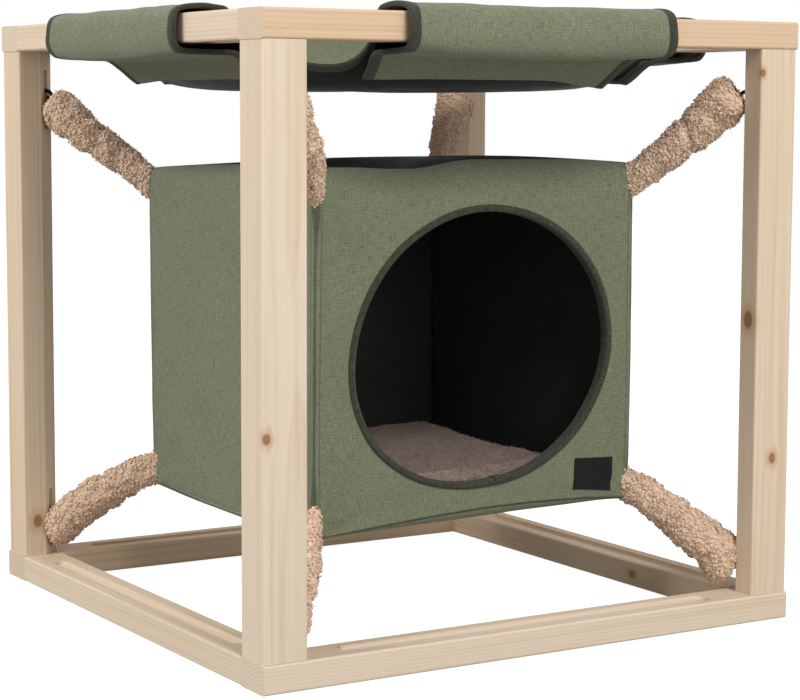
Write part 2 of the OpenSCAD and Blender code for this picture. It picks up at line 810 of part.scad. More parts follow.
// A smooth line through knots, with steps points to each span
function through(knots, steps) =
    let (n = len(knots))
    concat([
        for (i = [0:n - 2], k = [0:steps - 1])
            let (t = k / steps)
            let (a = knots[max(i - 1, 0)], b = knots[i], c = knots[i + 1], d = knots[min(i + 2, n - 1)])
            (2 * b + (c - a) * t + (2 * a - 5 * b + 4 * c - d) * t * t
                + (3 * b - a - 3 * c + d) * t * t * t) / 2
    ], [knots[n - 1]]);

// A strip of thickness t along a line
function strip(line, t) =
    let (n = len(line))
    let (side = [
        for (i = [0:n - 1])
            let (d = line[min(i + 1, n - 1)] - line[max(i - 1, 0)])
            [-d.y, d.x] / norm(d) * t / 2
    ])
    concat([for (i = [0:n - 1]) line[i] + side[i]], [for (i = [n - 1:-1:0]) line[i] - side[i]]);

// What is made round the right rail with its inner face at s, moved to a side of the frame
module at_side(side) {
    if (side == "right") translate([0, flap_shift_y, 0]) children();
    if (side == "left") mirror([1, 0, 0]) translate([0, flap_shift_y, 0]) children();
    if (side == "back") rotate([0, 0, 90]) translate([0, -flap_shift_x, 0]) children();
    if (side == "front") rotate([0, 0, -90]) translate([0, flap_shift_x, 0]) children();
}

function rail_face(side) = side == "left" || side == "right" ? bed_x : bed_y;

SIDES = ["front", "back", "left", "right"];
flap_steps = 3;

module flap_strip(side, width, t) {
    rotate([90, 0, 0]) linear_extrude(width, center = true)
        polygon(strip(through(flap_knots(rail_face(side)), flap_steps), t));
}

module hammock_flap(side) {
    color(olive) at_side(side) flap_strip(side, flap_w - 2 * trim_w, sheet_t);
}

module hammock_binding() {
    width = trim_w - soft_gap;
    color(trim_grey) for (side = SIDES, k = [-1, 1])
        at_side(side) translate([0, k * (flap_w - width) / 2, 0])
            flap_strip(side, width, sheet_t + 2 * trim_proud);
}

// A hook-and-loop strip between a flap's tail and the underside of the bed
module hammock_fasteners() {
    len = flap_w - 2 * trim_w - 2 * fastener_w;
    steps = 4;
    shade = sheet_t / 2 + soft_gap;
    color(jet) for (side = SIDES) at_side(side) {
        s = rail_face(side);
        row = function (d) [for (k = [0:steps]) under_bed(s, tail_reach - fastener_w * k / steps, d)];
        upper = row(shade);
        lower = row(shade + fastener_t);
        rotate([90, 0, 0]) linear_extrude(len, center = true)
            polygon(concat(upper, [for (k = [steps:-1:0]) lower[k]]));
    }
}

rail(LOW, "front");  // bottom_rail_front
rail(LOW, "back");  // bottom_rail_back
rail(LOW, "left");  // bottom_rail_left
rail(LOW, "right");  // bottom_rail_right
rail(TOP, "front");  // top_rail_front
rail(TOP, "back");  // top_rail_back
rail(TOP, "left");  // top_rail_left
rail(TOP, "right");  // top_rail_right
post(FL);  // post_front_left
post(FR);  // post_front_right
post(BL);  // post_back_left
post(BR);  // post_back_right
corner_screws();
rail_dowels();
screw_eyes();
snap_hooks();
hammock_bed();
hammock_lining();
hammock_binding();
hammock_fasteners();
hammock_flap("front");  // hammock_flap_front
hammock_flap("back");  // hammock_flap_back
hammock_flap("left");  // hammock_flap_left
hammock_flap("right");  // hammock_flap_right
den_shell("front");  // den_front
den_shell("back");  // den_back
den_shell("left");  // den_left
den_shell("right");  // den_right
den_shell("roof");  // den_roof
den_shell("floor");  // den_floor
den_lining("front");  // lining_front
den_lining("back");  // lining_back
den_lining("left");  // lining_left
den_lining("right");  // lining_right
den_lining("roof");  // lining_roof
den_lining("floor");  // lining_floor
door_binding();
label_patch();
arm_sleeve(TOP, FL);  // arm_top_front_left
arm_sleeve(TOP, FR);  // arm_top_front_right
arm_sleeve(TOP, BL);  // arm_top_back_left
arm_sleeve(TOP, BR);  // arm_top_back_right
arm_sleeve(LOW, FL);  // arm_low_front_left
arm_sleeve(LOW, FR);  // arm_low_front_right
arm_sleeve(LOW, BL);  // arm_low_back_left
arm_sleeve(LOW, BR);  // arm_low_back_right
straps(TOP);  // straps_top
straps(LOW);  // straps_low
den_mat();
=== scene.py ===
import json
import math

import bpy
import numpy as np
from mathutils import Matrix, Vector, noise

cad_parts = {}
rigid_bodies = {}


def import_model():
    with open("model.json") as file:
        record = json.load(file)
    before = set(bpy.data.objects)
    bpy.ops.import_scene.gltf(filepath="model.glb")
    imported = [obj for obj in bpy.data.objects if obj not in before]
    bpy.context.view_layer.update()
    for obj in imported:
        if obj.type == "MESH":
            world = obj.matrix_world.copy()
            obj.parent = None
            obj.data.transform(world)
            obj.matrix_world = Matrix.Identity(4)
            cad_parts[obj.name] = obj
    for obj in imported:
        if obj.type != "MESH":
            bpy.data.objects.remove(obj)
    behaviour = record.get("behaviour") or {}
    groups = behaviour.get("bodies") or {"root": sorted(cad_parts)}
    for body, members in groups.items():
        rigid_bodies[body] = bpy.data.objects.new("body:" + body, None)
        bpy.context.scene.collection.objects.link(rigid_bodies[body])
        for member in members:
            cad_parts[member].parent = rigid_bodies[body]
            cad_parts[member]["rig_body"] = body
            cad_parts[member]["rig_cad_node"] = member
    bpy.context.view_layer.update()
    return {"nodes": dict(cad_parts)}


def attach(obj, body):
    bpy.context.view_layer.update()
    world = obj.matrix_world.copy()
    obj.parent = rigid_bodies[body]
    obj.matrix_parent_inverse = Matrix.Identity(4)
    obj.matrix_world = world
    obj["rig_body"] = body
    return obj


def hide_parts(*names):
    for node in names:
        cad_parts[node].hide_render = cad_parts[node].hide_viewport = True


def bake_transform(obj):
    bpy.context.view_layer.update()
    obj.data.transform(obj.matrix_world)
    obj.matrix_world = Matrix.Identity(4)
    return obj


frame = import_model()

NODES = frame["nodes"]
SCENE = bpy.context.scene


def unit(v):
    return v / np.linalg.norm(v, axis=-1, keepdims=True)


def stack(*columns):
    """Columns of numbers as one point per row."""
    return np.stack(columns, -1)


# Sizes of the frame, the den and the hammock, in metres, from the part's source or read off the photograph
HALF = 0.300
RAIL_H, RAIL_T = 0.027, 0.045
POST_W, POST_IN = 0.044, 0.001
DEN = np.array([0.182, 0.182, 0.176])
DEN_Z, DEN_DRAW, DEN_BULGE = 0.286, 0.002, 0.0015
DEN_AT = np.array([0, 0, DEN_Z])
FLOOR_SAG, ROOF_SAG = 0.009, 0.033
RIM_ARCH = {"front": 0.0068, "back": 0.003, "left": 0.002, "right": 0.004}
HEM_ARCH = {"front": 0.0095, "back": 0.008, "left": -0.003, "right": 0.008}
PANEL, LINING = 0.005, 0.002
LINING_IN = PANEL + 0.0006
DOOR = np.array([0.1415, 0.1358])
DOOR_AT = np.array([0.0085, 0.2828 - DEN_Z])
DOOR_FULL, DOOR_FULL_AT = 0.011, math.radians(214)
FRONT_SEED = 1.3
LABEL, LABEL_AT, LABEL_TILT = (0.046, 0.038), (0.1355, 0.1395 - DEN_Z), math.radians(-3.5)
EYE_XY, EYE_TOP, EYE_LOW = 0.25863, 0.522, 0.066
TIP = np.array([0.1797, 0.1797, 0.1610])
TIP_LEAN = unit(np.array([1, 1, 0.08]))
CORNER_CUT = 0.032
BED_FACE, BED_IN = HALF - RAIL_T, 0.009
BED_LOW, BED_RIM, BED_POWER = 0.533, 0.589, 8
FLAP_W, FLAP_SHIFT, FLAP_DROP = 0.296, np.array([-0.008, 0.003]), 0.007
CORNER_PULL, CORNER_DIP, FLAP_SHARE = 0.076, 0.65, 5 / 7
SHEET_T, TAIL_REACH, STRIP_W, STRIP_T = 0.004, 0.046, 0.016, 0.0018
CORNERS = {"front_left": (-1, -1), "front_right": (1, -1), "back_left": (-1, 1), "back_right": (1, 1)}
TURNS = {"front": 0, "right": 90, "back": 180, "left": 270}


# Shader sums

def tone(r, g, b):
    """A colour as seen on a screen, 0 to 255, as the shader's linear one."""
    part = lambda c: c / 12.92 if c <= 0.04045 else ((c + 0.055) / 1.055) ** 2.4
    return (part(r / 255), part(g / 255), part(b / 255), 1)


class Tap:
    """A socket in a sum: each operator on it adds a Math node."""

    def __init__(self, paint, socket):
        self.paint, self.socket = paint, socket

    def __add__(self, other):
        return self.paint.sum("ADD", self, other)

    def __sub__(self, other):
        return self.paint.sum("SUBTRACT", self, other)

    def __mul__(self, other):
        return self.paint.sum("MULTIPLY", self, other)

    def __truediv__(self, other):
        return self.paint.sum("DIVIDE", self, other)

    def __pow__(self, other):
        return self.paint.sum("POWER", self, other)

    def __abs__(self):
        return self.paint.sum("ABSOLUTE", self)


class Nodes:
    """A node tree. Each node is made by node(), which gives its output back as a Tap."""

    def __init__(self, tree):
        self.tree = tree

    def node(self, kind, settings=None, inputs=None, out=0):
        made = self.tree.nodes.new(kind)
        for key, value in (settings or {}).items():
            setattr(made, key, value)
        for key, value in (inputs or {}).items():
            if isinstance(value, Tap):
                self.tree.links.new(value.socket, made.inputs[key])
            else:
                made.inputs[key].default_value = value
        return Tap(self, made.outputs[out]) if made.outputs else made

    def sum(self, operation, *values):
        return self.node("ShaderNodeMath", {"operation": operation}, dict(enumerate(values)))


class Paint(Nodes):
    """A material and its nodes. Values that are the same all over go on the shader's own sockets."""

    def __init__(self, name, **constant):
        self.material = bpy.data.materials.new(name)
        self.material.use_nodes = True
        super().__init__(self.material.node_tree)
        self.shader = self.tree.nodes["Principled BSDF"]
        for socket, value in constant.items():
            self.shader.inputs[socket.replace("_", " ")].default_value = value

    def place(self, source="Object"):
        return self.node("ShaderNodeTexCoord", out=source)

    def attribute(self, name):
        return self.node("ShaderNodeAttribute", {"attribute_name": name}, out="Fac")

    def parts(self, vector):
        split = self.node("ShaderNodeSeparateXYZ", inputs={0: vector})
        return [Tap(self, socket) for socket in split.socket.node.outputs]

    def vector(self, x, y, z):
        return self.node("ShaderNodeCombineXYZ", inputs={0: x, 1: y, 2: z})

    def grain(self, vector, scale, detail=2.0, rough=0.5):
        return self.node("ShaderNodeTexNoise", inputs={
            "Vector": vector, "Scale": scale, "Detail": detail, "Roughness": rough})

    def threads(self, vector, scale, detail, rough=0.5, shift=(0, 0, 0)):
        """Noise drawn out along its axes."""
        drawn = self.node("ShaderNodeMapping", inputs={"Vector": vector, "Scale": scale, "Location": shift})
        return self.grain(drawn, 1.0, detail, rough)

    def ease(self, value, low, high):
        """0 up to low, 1 from high, smooth between; low may be above high."""
        flip = low > high
        return self.node("ShaderNodeMapRange", {"interpolation_type": "SMOOTHSTEP"}, {
            "Value": value, "From Min": min(low, high), "From Max": max(low, high),
            "To Min": float(flip), "To Max": float(not flip)})

    def mix(self, share, a, b):
        return self.node("ShaderNodeMix", {"data_type": "RGBA"}, {0: share, 6: a, 7: b}, out=2)

    def feed(self, socket, tap):
        self.tree.links.new(tap.socket, self.shader.inputs[socket])

    def finish(self, colour, height, distance, strength):
        self.feed("Base Color", colour)
        self.feed("Normal", self.node("ShaderNodeBump", inputs={
            "Height": height, "Distance": distance, "Strength": strength}))
        return self


# Modelling helpers

def only(obj=None):
    bpy.ops.object.select_all(action="DESELECT")
    if obj:
        obj.select_set(True)
        bpy.context.view_layer.objects.active = obj
    return obj


def cloth_grid(name, across, along, size):
    """A flat grid over -1 to 1, with a UV map in metres, ready to be laid on a surface."""
    only()
    bpy.ops.mesh.primitive_grid_add(x_subdivisions=across, y_subdivisions=along, size=2)
    obj = bpy.context.object
    obj.name = obj.data.name = name
    layer = obj.data.uv_layers.active.data
    uv = np.empty(len(layer) * 2, np.float32)
    layer.foreach_get("uv", uv)
    layer.foreach_set("uv", (uv.reshape(-1, 2) * np.array(size, np.float32)).ravel())
    return obj


def points(obj):
    co = np.empty(len(obj.data.vertices) * 3, np.float32)
    obj.data.vertices.foreach_get("co", co)
    return co.reshape(-1, 3).astype(float)


def span(obj):
    """A flat grid's own two coordinates, from -1 to 1."""
    return points(obj).T[:2]


def lay(obj, place):
    """Moves each vertex to where place puts it."""
    obj.data.vertices.foreach_set("co", np.asarray(place, np.float32).ravel())
    obj.data.update()
    return obj


def mark(obj, name, values):
    """A number at each vertex, for the materials."""
    made = obj.data.attributes.get(name) or obj.data.attributes.new(name, "FLOAT", "POINT")
    made.data.foreach_set("value", np.asarray(values, np.float32))
    return obj


def modify(obj, kind, **settings):
    only(obj)
    made = obj.modifiers.new(kind.title(), kind)
    for key, value in settings.items():
        setattr(made, key, value)
    bpy.ops.object.modifier_apply(modifier=made.name)
    return obj


def edit(obj, step, **settings):
    """Runs one mesh operator on all of a piece."""
    only(obj)
    bpy.ops.object.mode_set(mode="EDIT")
    bpy.ops.mesh.select_all(action="SELECT")
    step(**settings)
    bpy.ops.object.mode_set(mode="OBJECT")
    return obj


def close(obj, merge=0.00001, holes=False):
    """Joins the seams of a wrapped grid, fills its ends and turns its faces outwards."""
    edit(obj, bpy.ops.mesh.remove_doubles, threshold=merge)
    if holes:
        edit(obj, bpy.ops.mesh.fill_holes, sides=0)
    return edit(obj, bpy.ops.mesh.normals_make_consistent, inside=False)


def link(obj):
    SCENE.collection.objects.link(obj)
    return obj


def twin(obj, name):
    """A copy of a piece with a mesh of its own."""
    made = obj.copy()
    made.data = obj.data.copy()
    made.name = made.data.name = name
    return link(made)


def faces_of(obj, key):
    """What each face of a mesh says of itself, such as its area."""
    return np.array([getattr(face, key) for face in obj.data.polygons])


def wear(obj, *paints):
    """Gives a piece its materials, in the order of their slots."""
    obj.data.materials.clear()
    for paint in paints:
        obj.data.materials.append(paint.material)


def dress(obj, body, paints, nodes=(), angle=40):
    """Finishes a piece: smooth faces, its materials, the body it rides on and the nodes it stands for."""
    only(obj)
    bpy.ops.object.shade_smooth_by_angle(angle=math.radians(angle))
    wear(obj, *paints)
    if body:
        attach(obj, body)
    if nodes:
        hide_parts(*nodes)
    return obj


def ripple(place, size, seed=0.0):
    """Smooth noise from -1 to 1 at each point."""
    shift = Vector((seed, seed * 1.7, -seed))
    return np.array([noise.noise(Vector(p) / size + shift) for p in place])


def smooth(t):
    t = np.clip(t, 0, 1)
    return t * t * (3 - 2 * t)


def bezier(a, b, c, t):
    return a * (1 - t) ** 2 + b * 2 * t * (1 - t) + c * t * t


def turned(place, degrees):
    a = math.radians(degrees)
    c, s = math.cos(a), math.sin(a)
    return place @ np.array([[c, s, 0], [-s, c, 0], [0, 0, 1]])


def sweep(name, path, side, up, profile, ring, size):
    """A tape or welt: a closed outline, in side and up, carried along a path."""
    n, m = len(path), len(profile)
    obj = cloth_grid(name, m, n if ring else n - 1, size)
    a, b = span(obj)
    i = np.rint((b + 1) / 2 * (n if ring else n - 1)).astype(int) % n
    j = np.rint((a + 1) / 2 * m).astype(int) % m
    outline = np.asarray(profile)
    lay(obj, path[i] + side[i] * outline[j, :1] + up[i] * outline[j, 1:])
    return close(obj, holes=not ring)


def join(first, *others):
    only(first)
    for other in others:
        other.select_set(True)
    bpy.ops.object.join()
    return first


# Finishes

def pine(name, axis, heart, shift, warmth_and_shade=0.0, knots=()):
    """Planed pine, its grain along one axis and its growth rings round a heart line."""
    paint = Paint(name, Roughness=0.62, Specular_IOR_Level=0.35)
    x, y, z = paint.parts(paint.place())
    across, over, along = {"X": (y, z, x), "Y": (x, z, y), "Z": (x, y, z)}[axis]
    p = paint.vector(across, over, along)
    wander = paint.threads(p, (7, 7, 1.1), 2.0, shift=shift) - 0.5
    ripples = paint.threads(p, (26, 26, 3.2), 3.0, shift=shift) - 0.5
    off_x, off_y = across - heart[0], over - heart[1]
    radius = (off_x * off_x + off_y * off_y) ** 0.5 + wander * 0.022 + ripples * 0.0022
    dark, halo = None, None
    for (kx, ky, kz), size in knots:
        dx, dy, dz = across - kx, over - ky, (along - kz) * 0.72
        away = (dx * dx + dy * dy + dz * dz) ** 0.5 / size
        radius = radius + paint.ease(away, 3.4, 0.6) * size * 0.55
        spot = paint.ease(away + ripples * 0.5, 1.15, 0.7)
        glow = paint.ease(away + ripples * 0.6, 2.6, 0.9)
        dark = spot if dark is None else paint.sum("MAXIMUM", dark, spot)
        halo = glow if halo is None else paint.sum("MAXIMUM", halo, glow)
    ring = paint.sum("FRACT", radius * 270)
    late = paint.ease(ring, 0.35, 0.92) * paint.ease(ring, 1.0, 0.93)
    fibre = paint.threads(p, (900, 900, 16), 3.0, 0.6, shift=shift)
    streak = paint.threads(p, (150, 150, 2.2), 2.0, shift=shift)
    cloud = paint.threads(p, (14, 14, 2.5), 1.0, shift=shift)
    # warmth_and_shade darkens and warms both tones: partly the wood's own tone, and partly painted shade on
    # bars that stand in the den's shade.
    pale = tone(217 - 3 * warmth_and_shade, 200 - 6 * warmth_and_shade, 178 - 9 * warmth_and_shade)
    tan = tone(194 - 2 * warmth_and_shade, 168 - 4 * warmth_and_shade, 139 - 6 * warmth_and_shade)
    share = late * 0.27 + paint.ease(streak, 0.42, 0.75) * 0.3 + (fibre - 0.5) * 0.3
    colour = paint.mix(paint.ease(share, -0.15, 1.0), pale, tan)
    colour = paint.mix(paint.ease(cloud, 0.35, 0.8) * 0.35, colour, tone(203, 180, 152))
    normal = paint.parts(paint.node("ShaderNodeNewGeometry", out="Normal"))["XYZ".index(axis)]
    end = paint.ease(abs(normal), 0.6, 0.9)
    colour = paint.mix(end * 0.6, colour, paint.mix(late * 0.5, tone(208, 192, 172), tone(178, 156, 134)))
    if knots:
        colour = paint.mix(halo * 0.55, colour, tone(186, 136, 88))
        colour = paint.mix(dark * 0.8, colour, tone(122, 84, 56))
    return paint.finish(colour, late * 0.3 + fibre * 0.7, 0.00025, 0.5)


def heather(name):
    """Olive melange cloth: flecked threads both ways, with a plain weave."""
    paint = Paint(name, Roughness=0.92, Sheen_Weight=0.12, Sheen_Roughness=0.5, Specular_IOR_Level=0.2)
    uv = paint.place("UV")
    weft = paint.threads(uv, (95, 850, 1), 3.0, 0.65)
    warp = paint.threads(uv, (850, 95, 1), 3.0, 0.65, shift=(3, 7, 0))
    speck = paint.threads(uv, (420, 420, 1), 2.0, 0.7, shift=(1, 4, 0))
    drift = paint.threads(uv, (16, 16, 1), 2.0)
    fleck = (weft + warp) * 0.5 + (speck - 0.5) * 0.28
    colour = paint.mix(paint.ease(fleck, 0.36, 0.52), tone(94, 97, 75), tone(118, 122, 98))
    colour = paint.mix(paint.ease(fleck, 0.53, 0.68) * 0.8, colour, tone(144, 147, 121))
    colour = paint.mix(paint.ease(drift, 0.3, 0.75) * 0.16, colour, tone(90, 98, 74))
    # Painted shade: the cloth darkens within about 3 mm of its seams, of the flaps' taped edges and of the
    # cuts where the arms are sewn on.
    seam = paint.attribute("seam")
    colour = paint.mix(paint.ease(seam, 0.0028, 0.0004) * 0.65, colour, tone(44, 46, 36))
    row = paint.ease(abs(paint.attribute("stitch") - 0.0062), 0.0009, 0.0002)
    colour = paint.mix(row * 0.45, colour, tone(58, 62, 46))
    u, v, _ = paint.parts(uv)
    weave = paint.sum("SINE", u * 5200) * paint.sum("SINE", v * 5200)
    return paint.finish(colour, weave * 0.25 + fleck * 1.2 - row * 1.5, 0.0005, 0.7)


def jet_cloth(name, level, sheen):
    """Black lining cloth with a fine weave and a faint lustre."""
    paint = Paint(name, Roughness=0.7, Sheen_Weight=sheen, Sheen_Roughness=0.45, Specular_IOR_Level=0.15)
    uv = paint.place("UV")
    thread = paint.threads(uv, (700, 200, 1), 2.0, 0.6)
    drift = paint.threads(uv, (22, 22, 1), 3.0)
    colour = paint.mix(thread, tone(level - 10, level - 10, level - 11),
                       tone(level + 9, level + 8, level + 6))
    paint.feed("Roughness", paint.ease(drift, 0.2, 0.8) * 0.2 + 0.58)
    return paint.finish(colour, thread + drift * 3.0, 0.0006, 0.6)


def tape(name):
    """Dark folded binding, woven in a slanting rib."""
    paint = Paint(name, Roughness=0.85, Sheen_Weight=0.1, Specular_IOR_Level=0.2)
    uv = paint.place("UV")
    u, v, _ = paint.parts(uv)
    rib = paint.sum("SINE", (u + v) * 4200)
    worn = paint.threads(uv, (260, 260, 1), 3.0, 0.6)
    colour = paint.mix(paint.ease(worn, 0.3, 0.7), tone(46, 46, 36), tone(70, 69, 57))
    colour = paint.mix(paint.ease(rib, -0.2, 1.0) * 0.25, colour, tone(44, 44, 37))
    return paint.finish(colour, rib * 0.5 + worn, 0.0004, 0.6)


def fleece(name, deep, mid, tip, scale=1.0):
    """Curly pile: dark at the roots as painted shade among the tufts, pale at the tips, uneven from tuft to
    tuft.
    """
    paint = Paint(name, Roughness=0.95, Sheen_Weight=0.1, Sheen_Roughness=0.6, Specular_IOR_Level=0.1)
    place = paint.place()
    pile = paint.attribute("pile")
    tuft = paint.grain(place, 130 * scale, 3.0, 0.6)
    drift = paint.grain(place, 26 * scale, 2.0)
    fine = paint.grain(place, 900 * scale, 2.0, 0.7)
    height = pile + (tuft - 0.5) * 0.7 + (fine - 0.5) * 0.35
    # Painted shade at the roots: low pile takes the dark colour.
    colour = paint.mix(paint.ease(height, 0.05, 0.5), deep, mid)
    colour = paint.mix(paint.ease(height, 0.45, 1.05), colour, tip)
    colour = paint.mix(paint.ease(drift, 0.45, 0.75) * 0.25, colour, mid)
    return paint.finish(colour, tuft + fine * 0.5, 0.0012, 0.6)


def metal(name, colour, rough, scuff):
    """Plated or blacked steel with fine scuffs."""
    paint = Paint(name, Metallic=0.9)
    worn = paint.grain(paint.place(), 420, 3.0, 0.7)
    paint.feed("Roughness", worn * 0.3 + rough)
    return paint.finish(paint.mix(paint.ease(worn, 0.5, 0.8), colour, scuff), worn, 0.0001, 0.3)


olive = heather("olive_melange")
# The black cloth's very dark level (14) is partly painted shade, to keep the bed's underside dark; the same
# copy serves the roof, welts, webbing, fasteners and the flaps' undersides.
jet = jet_cloth("jet_lining", 14, 0.04)
# The den's lining: the same black cloth painted lighter (level 43 against 14), as painted light inside the
# den.
jet_painted_lighter = jet_cloth("jet_den_lining", 43, 0.14)
binding = tape("grey_binding")
sherpa = fleece("sherpa_plush", tone(184, 152, 126), tone(206, 175, 148), tone(229, 204, 180))
mat_plush = fleece("taupe_plush", tone(103, 86, 76), tone(142, 121, 109), tone(180, 160, 148), 1.2)
blacked = metal("blacked_steel", (0.012, 0.012, 0.013, 1), 0.3, (0.06, 0.06, 0.06, 1))
plated = metal("plated_steel", (0.55, 0.54, 0.52, 1), 0.25, (0.35, 0.34, 0.33, 1))


def dress_timber():
    """Each rail and post keeps its own shape and gets its own length of pine."""
    rails = HALF - RAIL_T / 2
    posts = HALF - POST_IN - POST_W / 2
    low, high = RAIL_H / 2, 2 * HALF - RAIL_H / 2
    # Each bar's grain axis, heart line, noise shift, warmth and knots; on the back bottom rail (2.8) and the
    # back left post (1.4) the warmth is partly painted shade where the den shades them.
    bars = {
        "bottom_rail_front": ("X", (-rails - 0.03, low - 0.05), (1, 2, 0), 0.0,
                              [((-0.2713, RAIL_H, -0.2065), 0.0018), ((-0.2899, RAIL_H, 0.205), 0.0018)]),
        "bottom_rail_back": ("X", (rails + 0.05, low - 0.03), (4, 1, 3), 2.8, ()),
        "bottom_rail_left": ("Y", (-rails + 0.02, low - 0.06), (7, 3, 1), 0.2, ()),
        "bottom_rail_right": ("Y", (rails + 0.04, low - 0.04), (2, 9, 5), 2.4,
                              [((rails - RAIL_T / 2, low, -0.1025), 0.0045),
                               ((0.2772, RAIL_H, -0.105), 0.002), ((0.2806, RAIL_H, 0.0494), 0.002)]),
        "top_rail_front": ("X", (-rails + 0.04, high + 0.07), (5, 5, 8), 3.2, ()),
        "top_rail_back": ("X", (rails - 0.05, high + 0.04), (3, 8, 2), 1.0, ()),
        "top_rail_left": ("Y", (-rails - 0.05, high + 0.05), (9, 2, 7), 0.6, ()),
        "top_rail_right": ("Y", (rails + 0.05, high + 0.06), (6, 6, 4), 1.4, ()),
        "post_front_left": ("Z", (-posts + 0.012, -posts + 0.055), (8, 4, 6), 0.0,
                            [((-posts - 0.019, -posts - 0.0215, 0.2276), 0.004)]),
        "post_front_right": ("Z", (posts + 0.03, -posts + 0.05), (1, 7, 9), 0.8,
                             [((posts - 0.022, -posts - 0.0083, 0.305), 0.0065),
                              ((posts + 0.001, -posts - 0.022, 0.1656), 0.0045),
                              ((posts - 0.020, -posts - 0.0215, 0.5497), 0.003)]),
        "post_back_left": ("Z", (-posts + 0.05, posts + 0.03), (2, 5, 1), 1.4,
                           [((-posts - 0.0066, posts - 0.022, 0.0647), 0.0055)]),
        "post_back_right": ("Z", (posts - 0.05, posts + 0.04), (9, 9, 3), 1.0, ()),
    }
    for node, (axis, heart, shift, warmth_and_shade, knots) in bars.items():
        wear(NODES[node], pine(node + "_pine", axis, heart, shift, warmth_and_shade, knots))
    for node, paint in {
        "screw_eyes": blacked, "snap_hooks": blacked, "corner_screws": plated,
        "rail_dowels": pine("beech_dowel", "Y", (0.3, 0.1), (1, 1, 1), 2.0),
    }.items():
        wear(NODES[node], paint)


# The den

def round_in(t, r):
    """How far a rounded edge falls back at distance t from the sharp one."""
    return np.where(t < r, r - np.sqrt(np.clip(r * r - (r - np.clip(t, 0, r)) ** 2, 0, None)), 0)


# Radii of the den's upright edges, its hem, its corners and, by side, its top edges
EDGE_R, HEM_R, CORNER_R = 0.006, 0.0022, 0.009
TOP_R = {0: 0.042, 90: 0.024, 180: 0.024, 270: 0.024}
SEAM_IN = EDGE_R * (1 - math.sqrt(0.5))
# How far the floor's belly runs in, how far the front leans back in its top part and how high that part is,
# and how far the sides wrap over the roof
BELLY_IN, BROW, BROW_H, WRAP = 0.016, 0.014, 0.032, 0.044
# How far each corner of the den hangs from its true place
HANG = {(-1, -1, 1): (0, 0, -0.005), (1, -1, 1): (0.008, 0, -0.002),
        (-1, 1, 1): (0, 0.003, -0.012), (1, 1, 1): (0, 0, -0.004),
        (-1, -1, -1): (-0.003, 0, -0.003), (1, -1, -1): (0.007, 0, 0.004),
        (-1, 1, -1): (-0.004, -0.012, 0.001), (1, 1, -1): (0, -0.006, 0.012)}


def den_slack(x, z, seed):
    """Folds that run in from the four corners of a panel, and a little unevenness, outwards."""
    slack = 0.0009 * ripple(stack(x, z, 0 * x), 0.075, seed)
    for sx in (-1, 1):
        for sz in (-1, 1):
            dx, dz = DEN[0] - sx * x, DEN[2] - sz * z
            away = np.hypot(dx, dz)
            angle = np.arctan2(dz, dx)
            slack += 0.0013 * np.exp(-away / 0.07) * np.sin(angle * 11 + seed * (3 + sx) + sz)
    return slack


def crown(x, y):
    """How far the roof stands above its corners: the rims arch up and the middle hangs down."""
    a, b = np.clip(x / DEN[0], -1, 1), np.clip(y / DEN[1], -1, 1)
    peak = RIM_ARCH["front"] * smooth((a + 0.28) / 0.36) * np.clip((1 - a) / 0.92, 0, 1)
    front = peak - 0.0026 * np.exp(-((a + 0.35) / 0.28) ** 2)
    rims = ((1 - b) * front + (1 + b) * RIM_ARCH["back"] * (1 - a * a)) / 2 \
        + ((1 - a) * RIM_ARCH["left"] + (1 + a) * RIM_ARCH["right"]) / 2 * (1 - b * b)
    a, b = np.clip(np.abs([x, y]) / (DEN[0] - WRAP), 0, 1)
    return rims - ROOF_SAG * (1 - a * a) * (1 - b * b)


def hem(x, y):
    """How far the seam round the floor arches up between the corners."""
    a, b = np.clip(x / DEN[0], -1, 1), np.clip(y / DEN[1], -1, 1)
    return ((1 - b) * HEM_ARCH["front"] * (1 + 0.35 * a) + (1 + b) * HEM_ARCH["back"]) / 2 * (1 - a * a) \
        + ((1 - a) * HEM_ARCH["left"] + (1 + a) * HEM_ARCH["right"]) / 2 * (1 - b * b)


def settle(place):
    """The den hangs a little out of true: each corner's own offset, blended between them."""
    p = np.clip((place - DEN_AT) / DEN, -1, 1)
    moved = place.copy()
    for corner, offset in HANG.items():
        moved += np.prod(1 + p * np.array(corner), axis=1)[:, None] / 8 * np.array(offset)
    return moved


def cut_corners(place, inset):
    """Flattens the tips where the arms are sewn on, and tells how far each point is from that cut."""
    p = place - DEN_AT
    sign = np.where(p < 0, -1.0, 1.0)
    depth = (np.abs(p) - TIP) @ TIP_LEAN + inset
    over = np.clip(depth, 0, None)
    return settle(place - sign * TIP_LEAN * over[:, None]), np.abs(depth)


def top_round(u, turn):
    """The radius of a panel's top edge: full in the middle, tight at the corners."""
    return TOP_R[turn] - (TOP_R[turn] - CORNER_R) * np.clip(np.abs(u), 0, 1) ** 5


